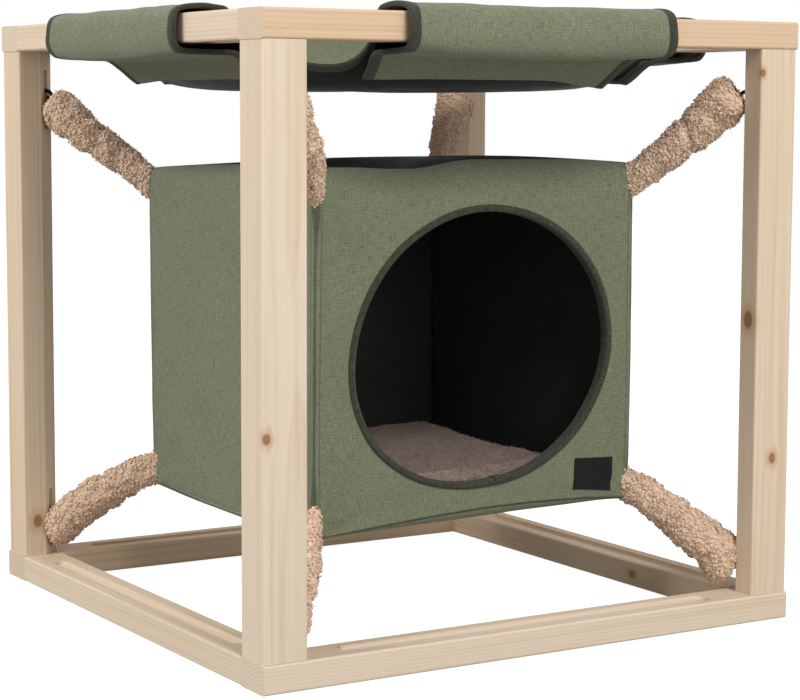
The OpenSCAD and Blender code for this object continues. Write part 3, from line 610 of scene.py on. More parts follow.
def side_skin(u, w, inset, turn, seed):
    """A point of a side panel: u across it from -1 to 1, w up its middle line and over the top edge."""
    half, high = DEN[0] - inset, DEN[2] - inset
    r = top_round(u, turn) - inset
    over = np.clip(w - (high - r), 0, None)
    phi = np.clip(over / r, 0, math.pi / 2)
    beyond = np.clip(over - r * math.pi / 2, 0, None)
    z = np.minimum(w, high - r) + r * np.sin(phi)
    back = r * (1 - np.cos(phi)) + beyond
    margin = np.maximum(SEAM_IN, back)
    x = u * (half - margin)
    edge = round_in(half - np.abs(x), EDGE_R) * np.clip(1 - back / EDGE_R, 0, 1)
    back = back + edge + round_in(z + high, HEM_R)
    a, c = x / half, z / high
    back = back + DEN_DRAW * (1 - a * a) * (1 - c * c)
    if turn == 0:
        back = back + BROW * (1 - a * a) * np.clip((z - high + BROW_H) / BROW_H, 0, 1)
    slack = den_slack(x, z, seed) * (1 - 0.6 * inset / LINING_IN)
    wide = x * (1 + DEN_BULGE * (1 - c * c) / half)
    place = turned(stack(wide, -(half - back + slack), z + DEN_Z), turn)
    at_rim, at_hem = smooth((c - 0.7) / 0.3), smooth((-c - 0.76) / 0.24)
    place[:, 2] += crown(*place.T[:2]) * at_rim + hem(*place.T[:2]) * at_hem
    return cut_corners(place, inset)


def side_span(u, inset, turn):
    """Where a side panel starts and ends, measured up its middle line."""
    high, r = DEN[2] - inset, top_round(u, turn) - inset
    return -high + 0.0001, high + WRAP - r * (2 - math.pi / 2)


def sew(obj, u, w, inset, turn, seed):
    """Lays a side panel's grid on the den, and marks how far each point is from its seams."""
    low, top = side_span(u, inset, turn)
    place, cut = side_skin(u, w, inset, turn, seed)
    lay(obj, place)
    sides = DEN[0] * (1 - np.abs(u))
    mark(obj, "seam", np.min([sides, w - low, top - w, cut], axis=0))
    mark(obj, "stitch", sides)


def padded_skin(obj, thick):
    """Gives a panel its thickness, inwards."""
    return modify(obj, "SOLIDIFY", thickness=thick, offset=-1, use_even_offset=False)


def side_panel(name, turn, inset, thick, across, along, seed):
    """The back, left or right panel, from its hem up and over the roof's edge."""
    obj = cloth_grid(name, across, along, (2 * DEN[0], 2 * DEN[2] + WRAP))
    a, b = span(obj)
    u = np.sign(a) * (1 - (1 - np.abs(a)) ** 1.15)
    low, top = side_span(u, inset, turn)
    w = low + (top - low) * (b + 1) / 2
    sew(obj, u, w, inset, turn, seed)
    return padded_skin(obj, thick)


def door_edge(angle):
    """The door's outline on the front panel, fuller than an oval at its lower left, and the way out of it."""
    c, s = np.cos(angle), np.sin(angle)
    out = unit(stack(c / DOOR[0], s / DOOR[1]))
    full = DOOR_FULL * np.clip(np.cos(angle - DOOR_FULL_AT), 0, None) ** 4
    return DOOR_AT + stack(c * DOOR[0], s * DOOR[1]) + out * full[:, None], out


def door_panel(name, inset, thick, rings, steps):
    """The front panel: rings of cloth from the oval door out to the seams."""
    obj = cloth_grid(name, rings, steps, (0.12, 1.3))
    a, b = span(obj)
    share, angle = (a + 1) / 2, (b + 1) * math.pi
    c, s = np.cos(angle), np.sin(angle)
    rim, _ = door_edge(angle)
    rim_u, rim_w = rim[:, 0] / (DEN[0] - inset - SEAM_IN), rim[:, 1]
    reach = np.maximum(np.abs(c), np.abs(s))
    edge_u = c / reach
    low, top = side_span(edge_u, inset, 0)
    edge_w = low + (top - low) * (s / reach + 1) / 2
    u = rim_u + (edge_u - rim_u) * share
    w = rim_w + (edge_w - rim_w) * share
    w = np.minimum(w, side_span(u, inset, 0)[1])
    sew(obj, u, w, inset, 0, FRONT_SEED)
    uv = obj.data.uv_layers.active.data
    for loop in obj.data.loops:
        i = loop.vertex_index
        uv[loop.index].uv = (u[i] * DEN[0], w[i])
    close(obj)
    return padded_skin(obj, thick)


def roof_panel(name, inset, thick, cells, seed):
    """The roof: it hangs in from the arched rims, inside the tops of the side panels."""
    obj = cloth_grid(name, cells, cells, (2 * DEN[0], 2 * DEN[1]))
    half, high = DEN[0] - inset, DEN[2] - inset
    margin = WRAP + 0.0004
    x, y = (points(obj)[:, :2] * (half - margin)).T
    edge = half - np.maximum(np.abs(x), np.abs(y)) - margin
    y = y + BROW * (1 - (x / half) ** 2) * np.clip(-y / (half - margin), 0, 1)
    slack = 0.0012 * ripple(stack(x, y, 0 * x), 0.08, seed) * smooth(edge / 0.03)
    z = high - 0.001 * smooth(1 - edge / 0.004) + crown(x, y) + slack
    place, cut = cut_corners(stack(x, y, z + DEN_Z), inset)
    lay(obj, place)
    mark(obj, "seam", np.minimum(edge, cut))
    return padded_skin(obj, thick)


def floor_panel(name, inset, thick, cells, seed):
    """The floor: a belly that drops from the arched seam round it and sags in the middle."""
    obj = cloth_grid(name, cells, cells, (2 * DEN[0], 2 * DEN[1]))
    flat = points(obj)[:, :2]
    half, high = DEN[0] - inset - HEM_R, DEN[2] - inset
    big = np.abs(flat).max(axis=1)
    belly = 0.2
    p = np.clip((1 - big) / belly, 0, 1) * math.pi / 2
    inner = (half - BELLY_IN) * big / (1 - belly)
    reach = np.where(1 - big < belly, half - BELLY_IN * (1 - np.cos(p)), inner)
    way = flat / np.maximum(big, 1e-9)[:, None]
    x, y = (way * reach[:, None]).T
    at_seam = hem(*(way * DEN[0]).T)
    a, b = x / half, y / half
    slack = 0.0012 * ripple(stack(x, y, 0 * x), 0.08, seed) * np.sin(p)
    z = -high + at_seam * (1 - np.sin(p)) - FLOOR_SAG * (1 - a * a) * (1 - b * b) + slack
    place, cut = cut_corners(stack(x, y, z + DEN_Z), inset)
    lay(obj, place)
    mark(obj, "seam", np.minimum(p * BELLY_IN, cut))
    edit(obj, bpy.ops.mesh.flip_normals)
    return padded_skin(obj, thick)


def make_den():
    """Six padded panels, and a black lining just inside each."""
    made = {"front": door_panel("den_front_panel", 0, PANEL, 34, 240)}
    for side in ("back", "left", "right"):
        seed = 2.1 + TURNS[side] / 40
        made[side] = side_panel("den_%s_panel" % side, TURNS[side], 0, PANEL, 70, 74, seed)
    made["roof"] = roof_panel("den_roof_panel", 0, PANEL, 60, 5.2)
    made["floor"] = floor_panel("den_floor_panel", 0, PANEL, 80, 6.4)
    for side, obj in made.items():
        paint, slot = (jet, "black_cloth") if side == "roof" else (olive, "olive_cloth")
        dress(obj, "den", [paint], ["den_" + side])
    inner = {"front": door_panel("den_front_lining", LINING_IN, LINING, 14, 120)}
    for side in ("back", "left", "right"):
        inner[side] = side_panel("den_%s_lining" % side, TURNS[side], LINING_IN, LINING, 40, 40, 7.7)
    inner["roof"] = roof_panel("den_roof_lining", LINING_IN, LINING, 40, 8.8)
    inner["floor"] = floor_panel("den_floor_lining", LINING_IN, LINING, 40, 6.4)
    for side, obj in inner.items():
        area = float(sum(faces_of(obj, "area"))) / 2
        # The lining copy is painted lighter, as painted light inside the den.
        dress(obj, "den", [jet_painted_lighter], ["lining_" + side])
        "den_" + side


def make_door_binding():
    """The folded tape round the door, with its lapped end at the bottom."""
    steps = 260
    angle = np.arange(steps) * 2 * math.pi / steps - math.pi / 2
    rim, out = door_edge(angle)
    path, _ = side_skin(rim[:, 0] / (DEN[0] - SEAM_IN), rim[:, 1], 0, 0, FRONT_SEED)
    side = stack(out[:, 0], 0 * angle, out[:, 1])
    up = np.tile([0.0, -1.0, 0.0], (steps, 1))
    path = path + side * (0.0008 * ripple(path, 0.05, 3)[:, None])
    wall, w, t = LINING_IN + LINING, 0.0051, 0.0015
    profile = [(w, 0.0004), (w - 0.0003, 0.0016), (w * 0.55, t + 0.0009), (0, t + 0.0007), (-0.0016, t),
               (-0.0020, 0.0006), (-0.0021, -wall / 2), (-0.0020, -wall - 0.0006), (-0.0012, -wall - t),
               (w * 0.5, -wall - t - 0.0003), (w, -wall - t + 0.0004), (w, -wall - 0.0005),
               (0.0006, -wall - 0.0005), (-0.0006, -wall / 2), (0.0006, 0.0003)]
    obj = sweep("door_tape", path, side, up, profile, True, (0.035, 0.88))
    lap = np.arange(4) + 3
    spread = np.array(profile) * np.array([1.1, 1.0]) + np.array([-0.0008, 0.0009])
    spread[6:12, 1] -= 0.0018
    fold = sweep("door_tape_lap", path[lap], side[lap], up[lap], spread, False, (0.035, 0.02))
    dress(join(obj, fold), "den", [binding], ["door_binding"], 60)


def make_label():
    """A bare woven patch, sewn flat on the front near its lower right corner."""
    obj = cloth_grid("bare_label", 20, 18, LABEL)
    a, b = span(obj)
    across, along = a * LABEL[0] / 2, b * LABEL[1] / 2
    c, s = math.cos(LABEL_TILT), math.sin(LABEL_TILT)
    x, z = LABEL_AT[0] + across * c - along * s, LABEL_AT[1] + across * s + along * c
    place, _ = side_skin(x / (DEN[0] - SEAM_IN), z, 0, 0, FRONT_SEED)
    edge = np.maximum(np.abs(a), np.abs(b))
    lift = 0.0009 + 0.0005 * (1 - smooth((edge - 0.86) / 0.14))
    lay(obj, place + stack(0 * x, -lift, 0 * x))
    modify(obj, "SOLIDIFY", thickness=0.0007, offset=-1)
    paint = Paint("bare_label_weave", Roughness=0.85, Sheen_Weight=0.05, Specular_IOR_Level=0.15)
    uv = paint.place("UV")
    rib = paint.sum("SINE", paint.parts(uv)[1] * 9000)
    fuzz = paint.threads(uv, (900, 500, 1), 2.0, 0.6)
    paint.finish(paint.mix(fuzz, tone(14, 14, 15), tone(28, 28, 29)), rib * 0.5 + fuzz, 0.0003, 0.6)
    dress(obj, "den", [paint], ["label_patch"])


def make_welts():
    """The sewn welts in the den's upright inner corners."""
    rows = np.linspace(-0.150, 0.150, 40)
    half = DEN[0] - LINING_IN - LINING - 0.0032
    parts = []
    for k, (sx, sy) in enumerate(CORNERS.values()):
        path = settle(stack(sx * half + 0 * rows, sy * half + 0 * rows, rows + DEN_Z))
        side = np.tile([sx * 0.7071, sy * 0.7071, 0], (len(rows), 1))
        over = np.tile([-sy * 0.7071, sx * 0.7071, 0], (len(rows), 1))
        ring = [(0.0024 * math.cos(a), 0.0024 * math.sin(a)) for a in np.arange(10) * math.pi / 5]
        parts.append(sweep("corner_welt_%d" % k, path, side, over, ring, False, (0.015, 0.3)))
    dress(join(*parts), "den", [jet])
    parts[0].name = "lining_welts"


# The arms

def arm_ends(corner, top):
    """An arm's two ends: at the post's eye, and at the den's corner as it hangs."""
    sx, sy = CORNERS[corner]
    root = np.array([sx * EYE_XY, sy * EYE_XY, EYE_TOP if top else EYE_LOW])
    sign = np.array([sx, sy, 1 if top else -1])
    tip = sign * TIP + DEN_AT + np.array(HANG[tuple(sign)])
    return root, tip


def tufts(name, place, normal, rng, size, hooks):
    """Small tufts, one at each place, as one mesh: leaning domes, or thin hooks that bend over."""
    n, rings, sides = len(place), 4 if hooks else 3, 3 if hooks else 6
    lean = unit(np.cross(normal, unit(rng.normal(size=(n, 3)))))
    over = np.cross(normal, lean)
    spans = ((0.8, 1.4), (0.7, 1.1), (0.45, 0.9))
    long, wide, tall = (size * rng.uniform(low, high, n)[:, None] for low, high in spans)
    shade = rng.uniform(-0.18, 0.18, n)
    verts, pile = [], []
    for k in range(rings):
        t = k / (rings - 1)
        phi = rng.uniform(1.9, 3.4, n)[:, None] * t if hooks else t * 1.25
        if hooks:
            mid = place + normal * tall * np.sin(phi * 0.62) + lean * tall * 0.62 * (1 - np.cos(phi))
            reach_long = reach_wide = size * (0.2 - 0.1 * t)
        else:
            mid = place + normal * tall * (np.sin(phi) - 0.3) + lean * long * 0.35 * t
            reach_long, reach_wide = long * np.cos(phi), wide * np.cos(phi)
        for q in range(sides):
            a = q * 2 * math.pi / sides
            verts.append(mid + lean * math.cos(a) * reach_long + over * math.sin(a) * reach_wide)
            # Pile rises from root to tip; the fleece colours its low end dark as painted shade among the
            # tufts.
            pile.append(0.38 + 0.45 * math.sin(t * 1.5) + shade)
    verts = np.stack(verts, 1).reshape(-1, 3)
    faces = [[(k + up) * sides + (q + on) % sides for up, on in ((0, 0), (0, 1), (1, 1), (1, 0))]
             for k in range(rings - 1) for q in range(sides)]
    faces.append([(rings - 1) * sides + q for q in range(sides)])
    every = [[i + m * rings * sides for i in face] for m in range(n) for face in faces]
    mesh = bpy.data.meshes.new(name)
    mesh.from_pydata(verts.tolist(), [], every)
    obj = link(bpy.data.objects.new(name, mesh))
    return mark(obj, "pile", np.stack(pile, 1).ravel())


# How far each arm's post end rises, how far its middle does, how far it bends aside, how far it reaches
# past the eye, and its radius at the post, half way and at the den
ARM_FORM = {
    "top_front_left": (0.004, -0.002, 0, -0.002, (0.0200, 0.0185, 0.0125)),
    "top_front_right": (0.013, -0.003, 0, -0.002, (0.0230, 0.0178, 0.0125)),
    "top_back_left": (-0.003, -0.003, 0.005, 0.002, (0.0200, 0.0168, 0.0125)),
    "top_back_right": (0.002, -0.004, 0, 0, (0.0200, 0.0170, 0.0125)),
    "low_front_left": (-0.018, -0.002, 0, 0.005, (0.0200, 0.0180, 0.0125)),
    "low_front_right": (-0.013, 0.002, 0, 0.006, (0.0235, 0.0195, 0.0135)),
    "low_back_left": (-0.011, 0.006, 0, 0.008, (0.0195, 0.0190, 0.0128)),
    "low_back_right": (-0.008, 0.001, 0, 0.005, (0.0200, 0.0170, 0.0125)),
}


def arm_line(key, root, tip, t):
    """The arm's middle line, from the eye at 0 to the den's corner at 1."""
    drop, rise, bend = ARM_FORM[key][:3]
    t = t[:, None]
    aside = unit(np.cross(tip - root, [0, 0, 1.0]))
    up = np.array([0, 0, 1.0])
    return root + (tip - root) * t + up * (drop * (1 - t) ** 2 + rise * 4 * t * (1 - t)) \
        + aside * bend * np.sin(2 * math.pi * t)


def sewn_in(corner, top, place, axis):
    """How far along the arm each point still has to go to end just inside the den's skin."""
    sign = np.array([*CORNERS[corner], 1 if top else -1])
    p = (place - DEN_AT - np.array(HANG[tuple(sign)])) * sign
    rounds = CORNER_R if top else HEM_R
    flats = [((1, 0, 0), DEN[0]), ((0, 1, 0), DEN[1]), ((0, 0, 1), DEN[2]), (TIP_LEAN, TIP @ TIP_LEAN)]
    for pair, r in (((1, 0, 1), rounds), ((0, 1, 1), rounds), ((1, 1, 0), EDGE_R)):
        lean = unit(np.array(pair, float))
        flats.append((lean, DEN @ lean - r * (math.sqrt(2) - 1)))
    inside = 0.003
    return np.max([(p @ np.array(lean) - reach + inside) / -(axis * sign @ np.array(lean))
                   for lean, reach in flats], axis=0)


def make_arm(corner, top, seed):
    """A plush sleeve from the post's eye to the den's corner: a lumpy tube, covered in curls."""
    key = ("top_" if top else "low_") + corner
    rng = np.random.default_rng(seed)
    root, tip = arm_ends(corner, top)
    length = np.linalg.norm(tip - root)
    axis = (tip - root) / length
    level = unit(np.cross(axis, [0, 0, 1.0]))
    high = np.cross(level, axis)
    obj = cloth_grid("plush_arm_" + key, 60, 90, (0.12, 0.16))
    a, b = span(obj)
    angle, t = (a + 1) * math.pi, (b + 1) / 2
    turn_in = 0.8
    outer = t < turn_in
    s = np.where(outer, t / turn_in, (1 - t) / 0.2)
    past, (post_r, mid_r, den_r) = ARM_FORM[key][3:]
    bore = 0.0096
    body = bezier(post_r, 2 * mid_r - (post_r + den_r) / 2, den_r, s)
    blunt = np.sqrt(np.clip(1 - (1 - np.clip(s / 0.09, 0, 1)) ** 2, 0, 1))
    ring = stack(np.cos(angle) * 0.6, np.sin(angle) * 0.6, s * 2.6)
    lumps = 1 + 0.14 * ripple(ring, 0.5, seed) + 0.12 * ripple(ring, 0.22, seed + 4) \
        + 0.05 * ripple(ring, 0.09, seed)
    scrunch = np.ones_like(s)
    for at, deep in zip((0.28, 0.5, 0.66, 0.82), rng.uniform(0.08, 0.17, 4)):
        lean = s + 0.05 * np.cos(angle + rng.uniform(0, 6))
        scrunch -= deep * np.exp(-((lean - at - rng.uniform(-0.05, 0.05)) / 0.035) ** 2)
    r = np.where(outer, bore + (body * lumps * scrunch - bore) * blunt, bore)
    start = -past / length
    pinch = smooth((s - 0.6) / 0.4)
    wide, tall = np.cos(angle) * (1 - 0.64 * pinch), np.sin(angle) * (1 + 0.1 * pinch)
    spoke = level * wide[:, None] + high * tall[:, None]
    place = arm_line(key, root, tip, start + (1 - start) * s) + spoke * r[:, None]
    lay(obj, place + axis * (sewn_in(corner, top, place, axis) * smooth((s - 0.7) / 0.3))[:, None])
    mark(obj, "pile", np.full(len(a), 0.5))
    close(obj, 0.00002)
    centre, normal, area = (faces_of(obj, word) for word in ("center", "normal", "area"))
    spread = centre - arm_line(key, root, tip, np.clip((centre - root) @ axis / length, 0, 1))
    area = area * (np.einsum("ij,ij->i", unit(spread), normal) > -0.35)
    for count, size, hooks in ((4000, 0.0019, False), (1500, 0.0028, True)):
        pick = rng.choice(len(area), count, p=area / area.sum())
        place = centre[pick] + rng.normal(size=(count, 3)) * 0.0008
        out = unit(normal[pick] + rng.normal(size=(count, 3)) * 0.2)
        join(obj, tufts("arm_tufts", place, out, rng, size, hooks))
    dress(obj, None, [sherpa], ["arm_" + key], 80)
    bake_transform(obj)


def make_straps():
    """The webbing loops inside the arms: copies of their nodes, laid along the sleeves."""
    for node, top in (("straps_top", True), ("straps_low", False)):
        obj = twin(NODES[node], node.replace("straps", "arm_webbing"))
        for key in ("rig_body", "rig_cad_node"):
            if key in obj:
                del obj[key]
        obj.parent = None
        close(obj)
        modify(obj, "SUBSURF", levels=2, render_levels=2, subdivision_type="SIMPLE")
        place = points(obj)
        for corner, (sx, sy) in CORNERS.items():
            mine = (place[:, 0] * sx > 0) & (place[:, 1] * sy > 0)
            root, tip = arm_ends(corner, top)
            true = np.array([sx, sy, 1 if top else -1]) * (DEN - CORNER_CUT / 3) + DEN_AT
            run = true - root
            t = np.clip((place[mine] - root) @ run / (run @ run), 0, 1)
            line = arm_line(("top_" if top else "low_") + corner, root, tip, t)
            off = place[mine] - root - run * t[:, None]
            far = np.linalg.norm(off, axis=1)
            room = 0.0056 - 0.0034 * smooth((t - 0.45) / 0.4)
            held = off * np.minimum(1, room / np.maximum(far, 1e-9))[:, None]
            place[mine] += (line + held - place[mine]) * smooth(t / 0.25)[:, None]
        lay(obj, place)
        dress(obj, None, [jet], [node])
        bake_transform(obj)


# The mat

def floor_height(x, y):
    """Height of the lined floor inside the den."""
    half, high = DEN[0] - LINING_IN - LINING, DEN[2] - LINING_IN - LINING
    a, b = np.clip(x / half, -1, 1), np.clip(y / half, -1, 1)
    flat = DEN_Z - high - FLOOR_SAG * (1 - a * a) * (1 - b * b)
    return settle(stack(x, y, flat))[:, 2]


MAT_W, MAT_H, MAT_EDGE, MAT_CELL = 0.300, 0.026, 0.009, 0.006
MAT_REACH, MAT_TOP, MAT_GAP, MAT_SWELL = 0.162, 0.036, 0.0011, 0.009
MAT_TUFTS, MAT_TUFT = 4600, 0.0022
FILL_STEPS = 20


def make_mat():
    """A soft pad that lies on the den's floor, filled by a short cloth simulation."""
    only()
    bpy.ops.mesh.primitive_cube_add(size=1, location=(0, 0, 0.015))
    obj = bpy.context.object
    obj.name = obj.data.name = "plush_mat"
    bpy.ops.transform.resize(value=(MAT_W, MAT_W, MAT_H))
    bpy.ops.object.transform_apply(location=True, rotation=False, scale=True)
    edit(obj, bpy.ops.mesh.bevel, offset=MAT_EDGE, segments=3)
    obj.data.remesh_voxel_size = MAT_CELL
    bpy.ops.object.voxel_remesh()
    before = points(obj)
    cloth = obj.modifiers.new("Fill", "CLOTH")
    cloth.settings.use_pressure = True
    cloth.settings.uniform_pressure_force = 4
    cloth.settings.effector_weights.gravity = 0
    cloth.settings.quality = 4
    cloth.point_cache.frame_start, cloth.point_cache.frame_end = 1, FILL_STEPS
    for step in range(1, FILL_STEPS + 1):
        SCENE.frame_set(step)
    only(obj)
    bpy.ops.object.modifier_apply(modifier="Fill")
    SCENE.frame_set(1)
    move = points(obj) - before
    far = np.linalg.norm(move, axis=1, keepdims=True)
    lay(obj, before + move * np.minimum(1, MAT_SWELL / np.maximum(far, 1e-9)))
    modify(obj, "SUBSURF", levels=1, render_levels=1)
    place = points(obj)
    x, y, z = place.T
    z = z - z.min()
    puff = (1 - np.clip(x / 0.165, -1, 1) ** 4) * (1 - np.clip(y / 0.165, -1, 1) ** 4)
    rise = np.clip(z * (0.72 + 0.28 * puff), 0, MAT_TOP)
    uneven = 0.0011 * ripple(place, 0.03, 4) + 0.0007 * ripple(place, 0.011, 2)
    rise = rise + np.where(rise > 0.004, uneven, 0)
    lay(obj, stack(np.clip(x, -MAT_REACH, MAT_REACH), np.clip(y, -MAT_REACH, MAT_REACH),
                   floor_height(x, y) + MAT_GAP + np.clip(rise, 0, None)))
    mark(obj, "pile", 0.5 + 0.22 * ripple(place, 0.006, 1) + 0.2 * ripple(place, 0.035, 6))
    rng = np.random.default_rng(5)
    centre, normal = (faces_of(obj, key) for key in ("center", "normal"))
    upper = np.flatnonzero(normal[:, 2] > -0.1)
    pick = rng.choice(upper, MAT_TUFTS)
    out = unit(normal[pick] + rng.normal(size=(MAT_TUFTS, 3)) * 0.3)
    join(obj, tufts("mat_tufts", centre[pick], out, rng, MAT_TUFT, True))
    dress(obj, "mat", [mat_plush], ["den_mat"], 80)


# The hammock

# How far a corner's lowest point lies from its true place, and how much deeper it dips
CORNER_SLACK = {(-1, -1): ((0.010, -0.004), 0.0), (1, -1): ((-0.005, 0.0), -0.14)}


def corner_edge(sx, sy, t):
    """The bed's cut corner, from the end of a front or back flap (0) to a side flap (1)."""
    reach = BED_FACE - BED_IN
    a = stack(FLAP_SHIFT[0] + sx * FLAP_W / 2, sy * reach)
    c = stack(sx * reach, FLAP_SHIFT[1] + sy * FLAP_W / 2)
    mid = stack(sx, sy) * (BED_FACE - CORNER_PULL)
    for corner, (shift, _) in CORNER_SLACK.items():
        mid = mid + np.all(stack(sx, sy) == corner, axis=-1)[..., None] * np.array(shift)
    return bezier(a, 2 * mid - (a + c) / 2, c, t[..., None])


def bed_place(u, v):
    """The bed's middle surface at u, v from -1 to 1."""
    m = np.maximum(np.abs(u), np.abs(v))
    safe = np.maximum(m, 1e-9)
    eu, ev = u / safe, v / safe
    sx, sy = np.where(u < 0, -1.0, 1.0), np.where(v < 0, -1.0, 1.0)
    least = np.minimum(np.abs(eu), np.abs(ev))
    share = np.clip(least - FLAP_SHARE, 0, None) / (1 - FLAP_SHARE)
    tall = np.abs(ev) >= np.abs(eu)
    reach = BED_FACE - BED_IN
    flat_y = stack(FLAP_SHIFT[0] + eu / FLAP_SHARE * FLAP_W / 2, sy * reach)
    flat_x = stack(sx * reach, FLAP_SHIFT[1] + ev / FLAP_SHARE * FLAP_W / 2)
    bend = corner_edge(sx, sy, np.where(tall, share / 2, 1 - share / 2))
    edge = np.where((share > 0)[:, None], bend, np.where(tall[:, None], flat_y, flat_x))
    xy = edge * m[:, None]
    dip = np.full_like(m, CORNER_DIP)
    for corner, (_, more) in CORNER_SLACK.items():
        dip += more * ((sx == corner[0]) & (sy == corner[1]))
    rise = (BED_RIM - BED_LOW) * m ** BED_POWER * (1 - dip * (1 - (1 - share) ** 2.2))
    crease = 0.0022 * ripple(stack(*xy.T, 0 * m), 0.11, 4.0) * (1 - m ** 6)
    return stack(*xy.T, BED_LOW + rise + crease)


def under_bed(s, x, d):
    """A place in the bed's section, x in from the rail's inner face at s and d under the middle surface."""
    reach = s - BED_IN
    m = (s - x) / reach
    slope = (BED_RIM - BED_LOW) * BED_POWER * m ** (BED_POWER - 1) / reach
    down = np.array([slope, -1]) / math.hypot(slope, 1)
    return np.array([s - x, BED_LOW + (BED_RIM - BED_LOW) * m ** BED_POWER]) + down * d


def flap_line(steps=5):
    """A flap's section: up from the bed, over the rail, down its outer face, under it and back."""
    s, top, out = BED_FACE, 2 * HALF, HALF + 0.0085
    under, rise = top - RAIL_H - FLAP_DROP, 0.007
    slope = (BED_RIM - BED_LOW) * BED_POWER / (s - BED_IN)
    depth = SHEET_T + STRIP_T + 0.0006
    knots = [np.array(k) for k in (
        (s - BED_IN + 0.0005, BED_RIM + slope * 0.0005), (s - 0.0045, top - 0.002),
        (s + 0.001, top + rise - 0.0026), (s + RAIL_T * 0.27, top + rise - 0.0007),
        (s + RAIL_T * 0.6, top + rise), (s + RAIL_T - 0.003, top + rise - 0.0015),
        (out - 0.003, top), (out, top - RAIL_H / 2),
        (out, top - RAIL_H + 0.005), (out - 0.0035, under + 0.004), (s + RAIL_T - 0.003, under),
        (s + RAIL_T / 3, under - 0.001), (s - 0.010, under - 0.002),
        under_bed(s, TAIL_REACH - STRIP_W * 1.1, depth + 0.001),
        under_bed(s, TAIL_REACH - STRIP_W / 2, depth + 0.0001), under_bed(s, TAIL_REACH, depth))]
    n, line = len(knots), []
    for i in range(n - 1):
        a, b, c, d = (knots[min(max(k, 0), n - 1)] for k in (i - 1, i, i + 1, i + 2))
        for t in np.arange(steps) / steps:
            line.append((2 * b + (c - a) * t + (2 * a - 5 * b + 4 * c - d) * t * t
                         + (3 * b - a - 3 * c + d) * t ** 3) / 2)
    return np.array(line + [knots[-1]])


FLAP_LINE = flap_line()
FLAP_LEN = float(np.linalg.norm(np.diff(FLAP_LINE, axis=0), axis=1).sum())
FLAP_TURN = {"right": (0, FLAP_SHIFT[1]), "back": (90, -FLAP_SHIFT[0]),
             "left": (180, -FLAP_SHIFT[1]), "front": (270, FLAP_SHIFT[0])}
# How far a flap's tail droops and how much it narrows, at its first end and at its last
DROOP = {"right": (0.002, 0.003), "back": (0.003, 0.002), "left": (0.003, 0.002), "front": (0.001, 0.007)}
TAPER = {side: (0.055, 0.105 if side == "front" else 0.055) for side in FLAP_TURN}


def flap_place(side, a, k):
    """A point of a flap's middle surface: a across it from -1 to 1, k steps along its section."""
    turn, shift = FLAP_TURN[side]
    n = len(FLAP_LINE) - 1
    t = k / n
    low = np.clip(k.astype(int), 0, n - 1)
    mix = (k - low)[:, None]
    line = FLAP_LINE[low] * (1 - mix) + FLAP_LINE[low + 1] * mix
    run = FLAP_LINE[np.minimum(low + 1, n)] - FLAP_LINE[low]
    out = unit(stack(-run[:, 1], run[:, 0]))
    tail = smooth((t - 0.74) / 0.26)
    wide = FLAP_W / 2 * (1 - np.where(a < 0, *TAPER[side]) * tail)
    lateral = shift + a * wide
    rows = stack(a * 2.2, t * 5, 0 * a)
    wave = 0.0011 * ripple(rows, 0.55, turn / 37 + 1) * smooth(t / 0.08) * (1 - smooth((t - 0.9) / 0.1))
    bow = 0.0012 * (1 - a * a) * smooth((t - 0.35) / 0.1) * (1 - smooth((t - 0.62) / 0.1))
    line = line + out * (wave + bow)[:, None]
    first, last = DROOP[side]
    droop = tail * (first * smooth((-a - 0.45) / 0.55) + last * smooth((a - 0.45) / 0.55)) \
        + 0.0045 * (1 - a * a) * smooth((t - 0.42) / 0.14) * (1 - smooth((t - 0.72) / 0.14))
    return turned(stack(line[:, 0], lateral, line[:, 1] - droop), turn)


def make_bed():
    """The bed, closer meshed near its rim, and the black cloth under it."""
    bed = cloth_grid("hammock_shell", 84, 84, (0.52, 0.52))
    a, b = span(bed)
    big = np.maximum(np.abs(a), np.abs(b))
    scale = np.where(big > 0, (1 - (1 - big) ** 1.35) / np.maximum(big, 1e-9), 0)
    lay(bed, bed_place(a * scale, b * scale))
    under = twin(bed, "hammock_under_lining")
    area = float(sum(faces_of(bed, "area")))
    modify(bed, "SOLIDIFY", thickness=0.0021, offset=1)
    lay(under, points(under) - np.array([0, 0, 0.0003]))
    modify(under, "SOLIDIFY", thickness=0.0016, offset=-1)
    mark(bed, "seam", np.full(len(bed.data.vertices), 0.02))
    dress(bed, "frame", [olive], ["hammock_bed"])
    dress(under, "frame", [jet], ["hammock_lining"])


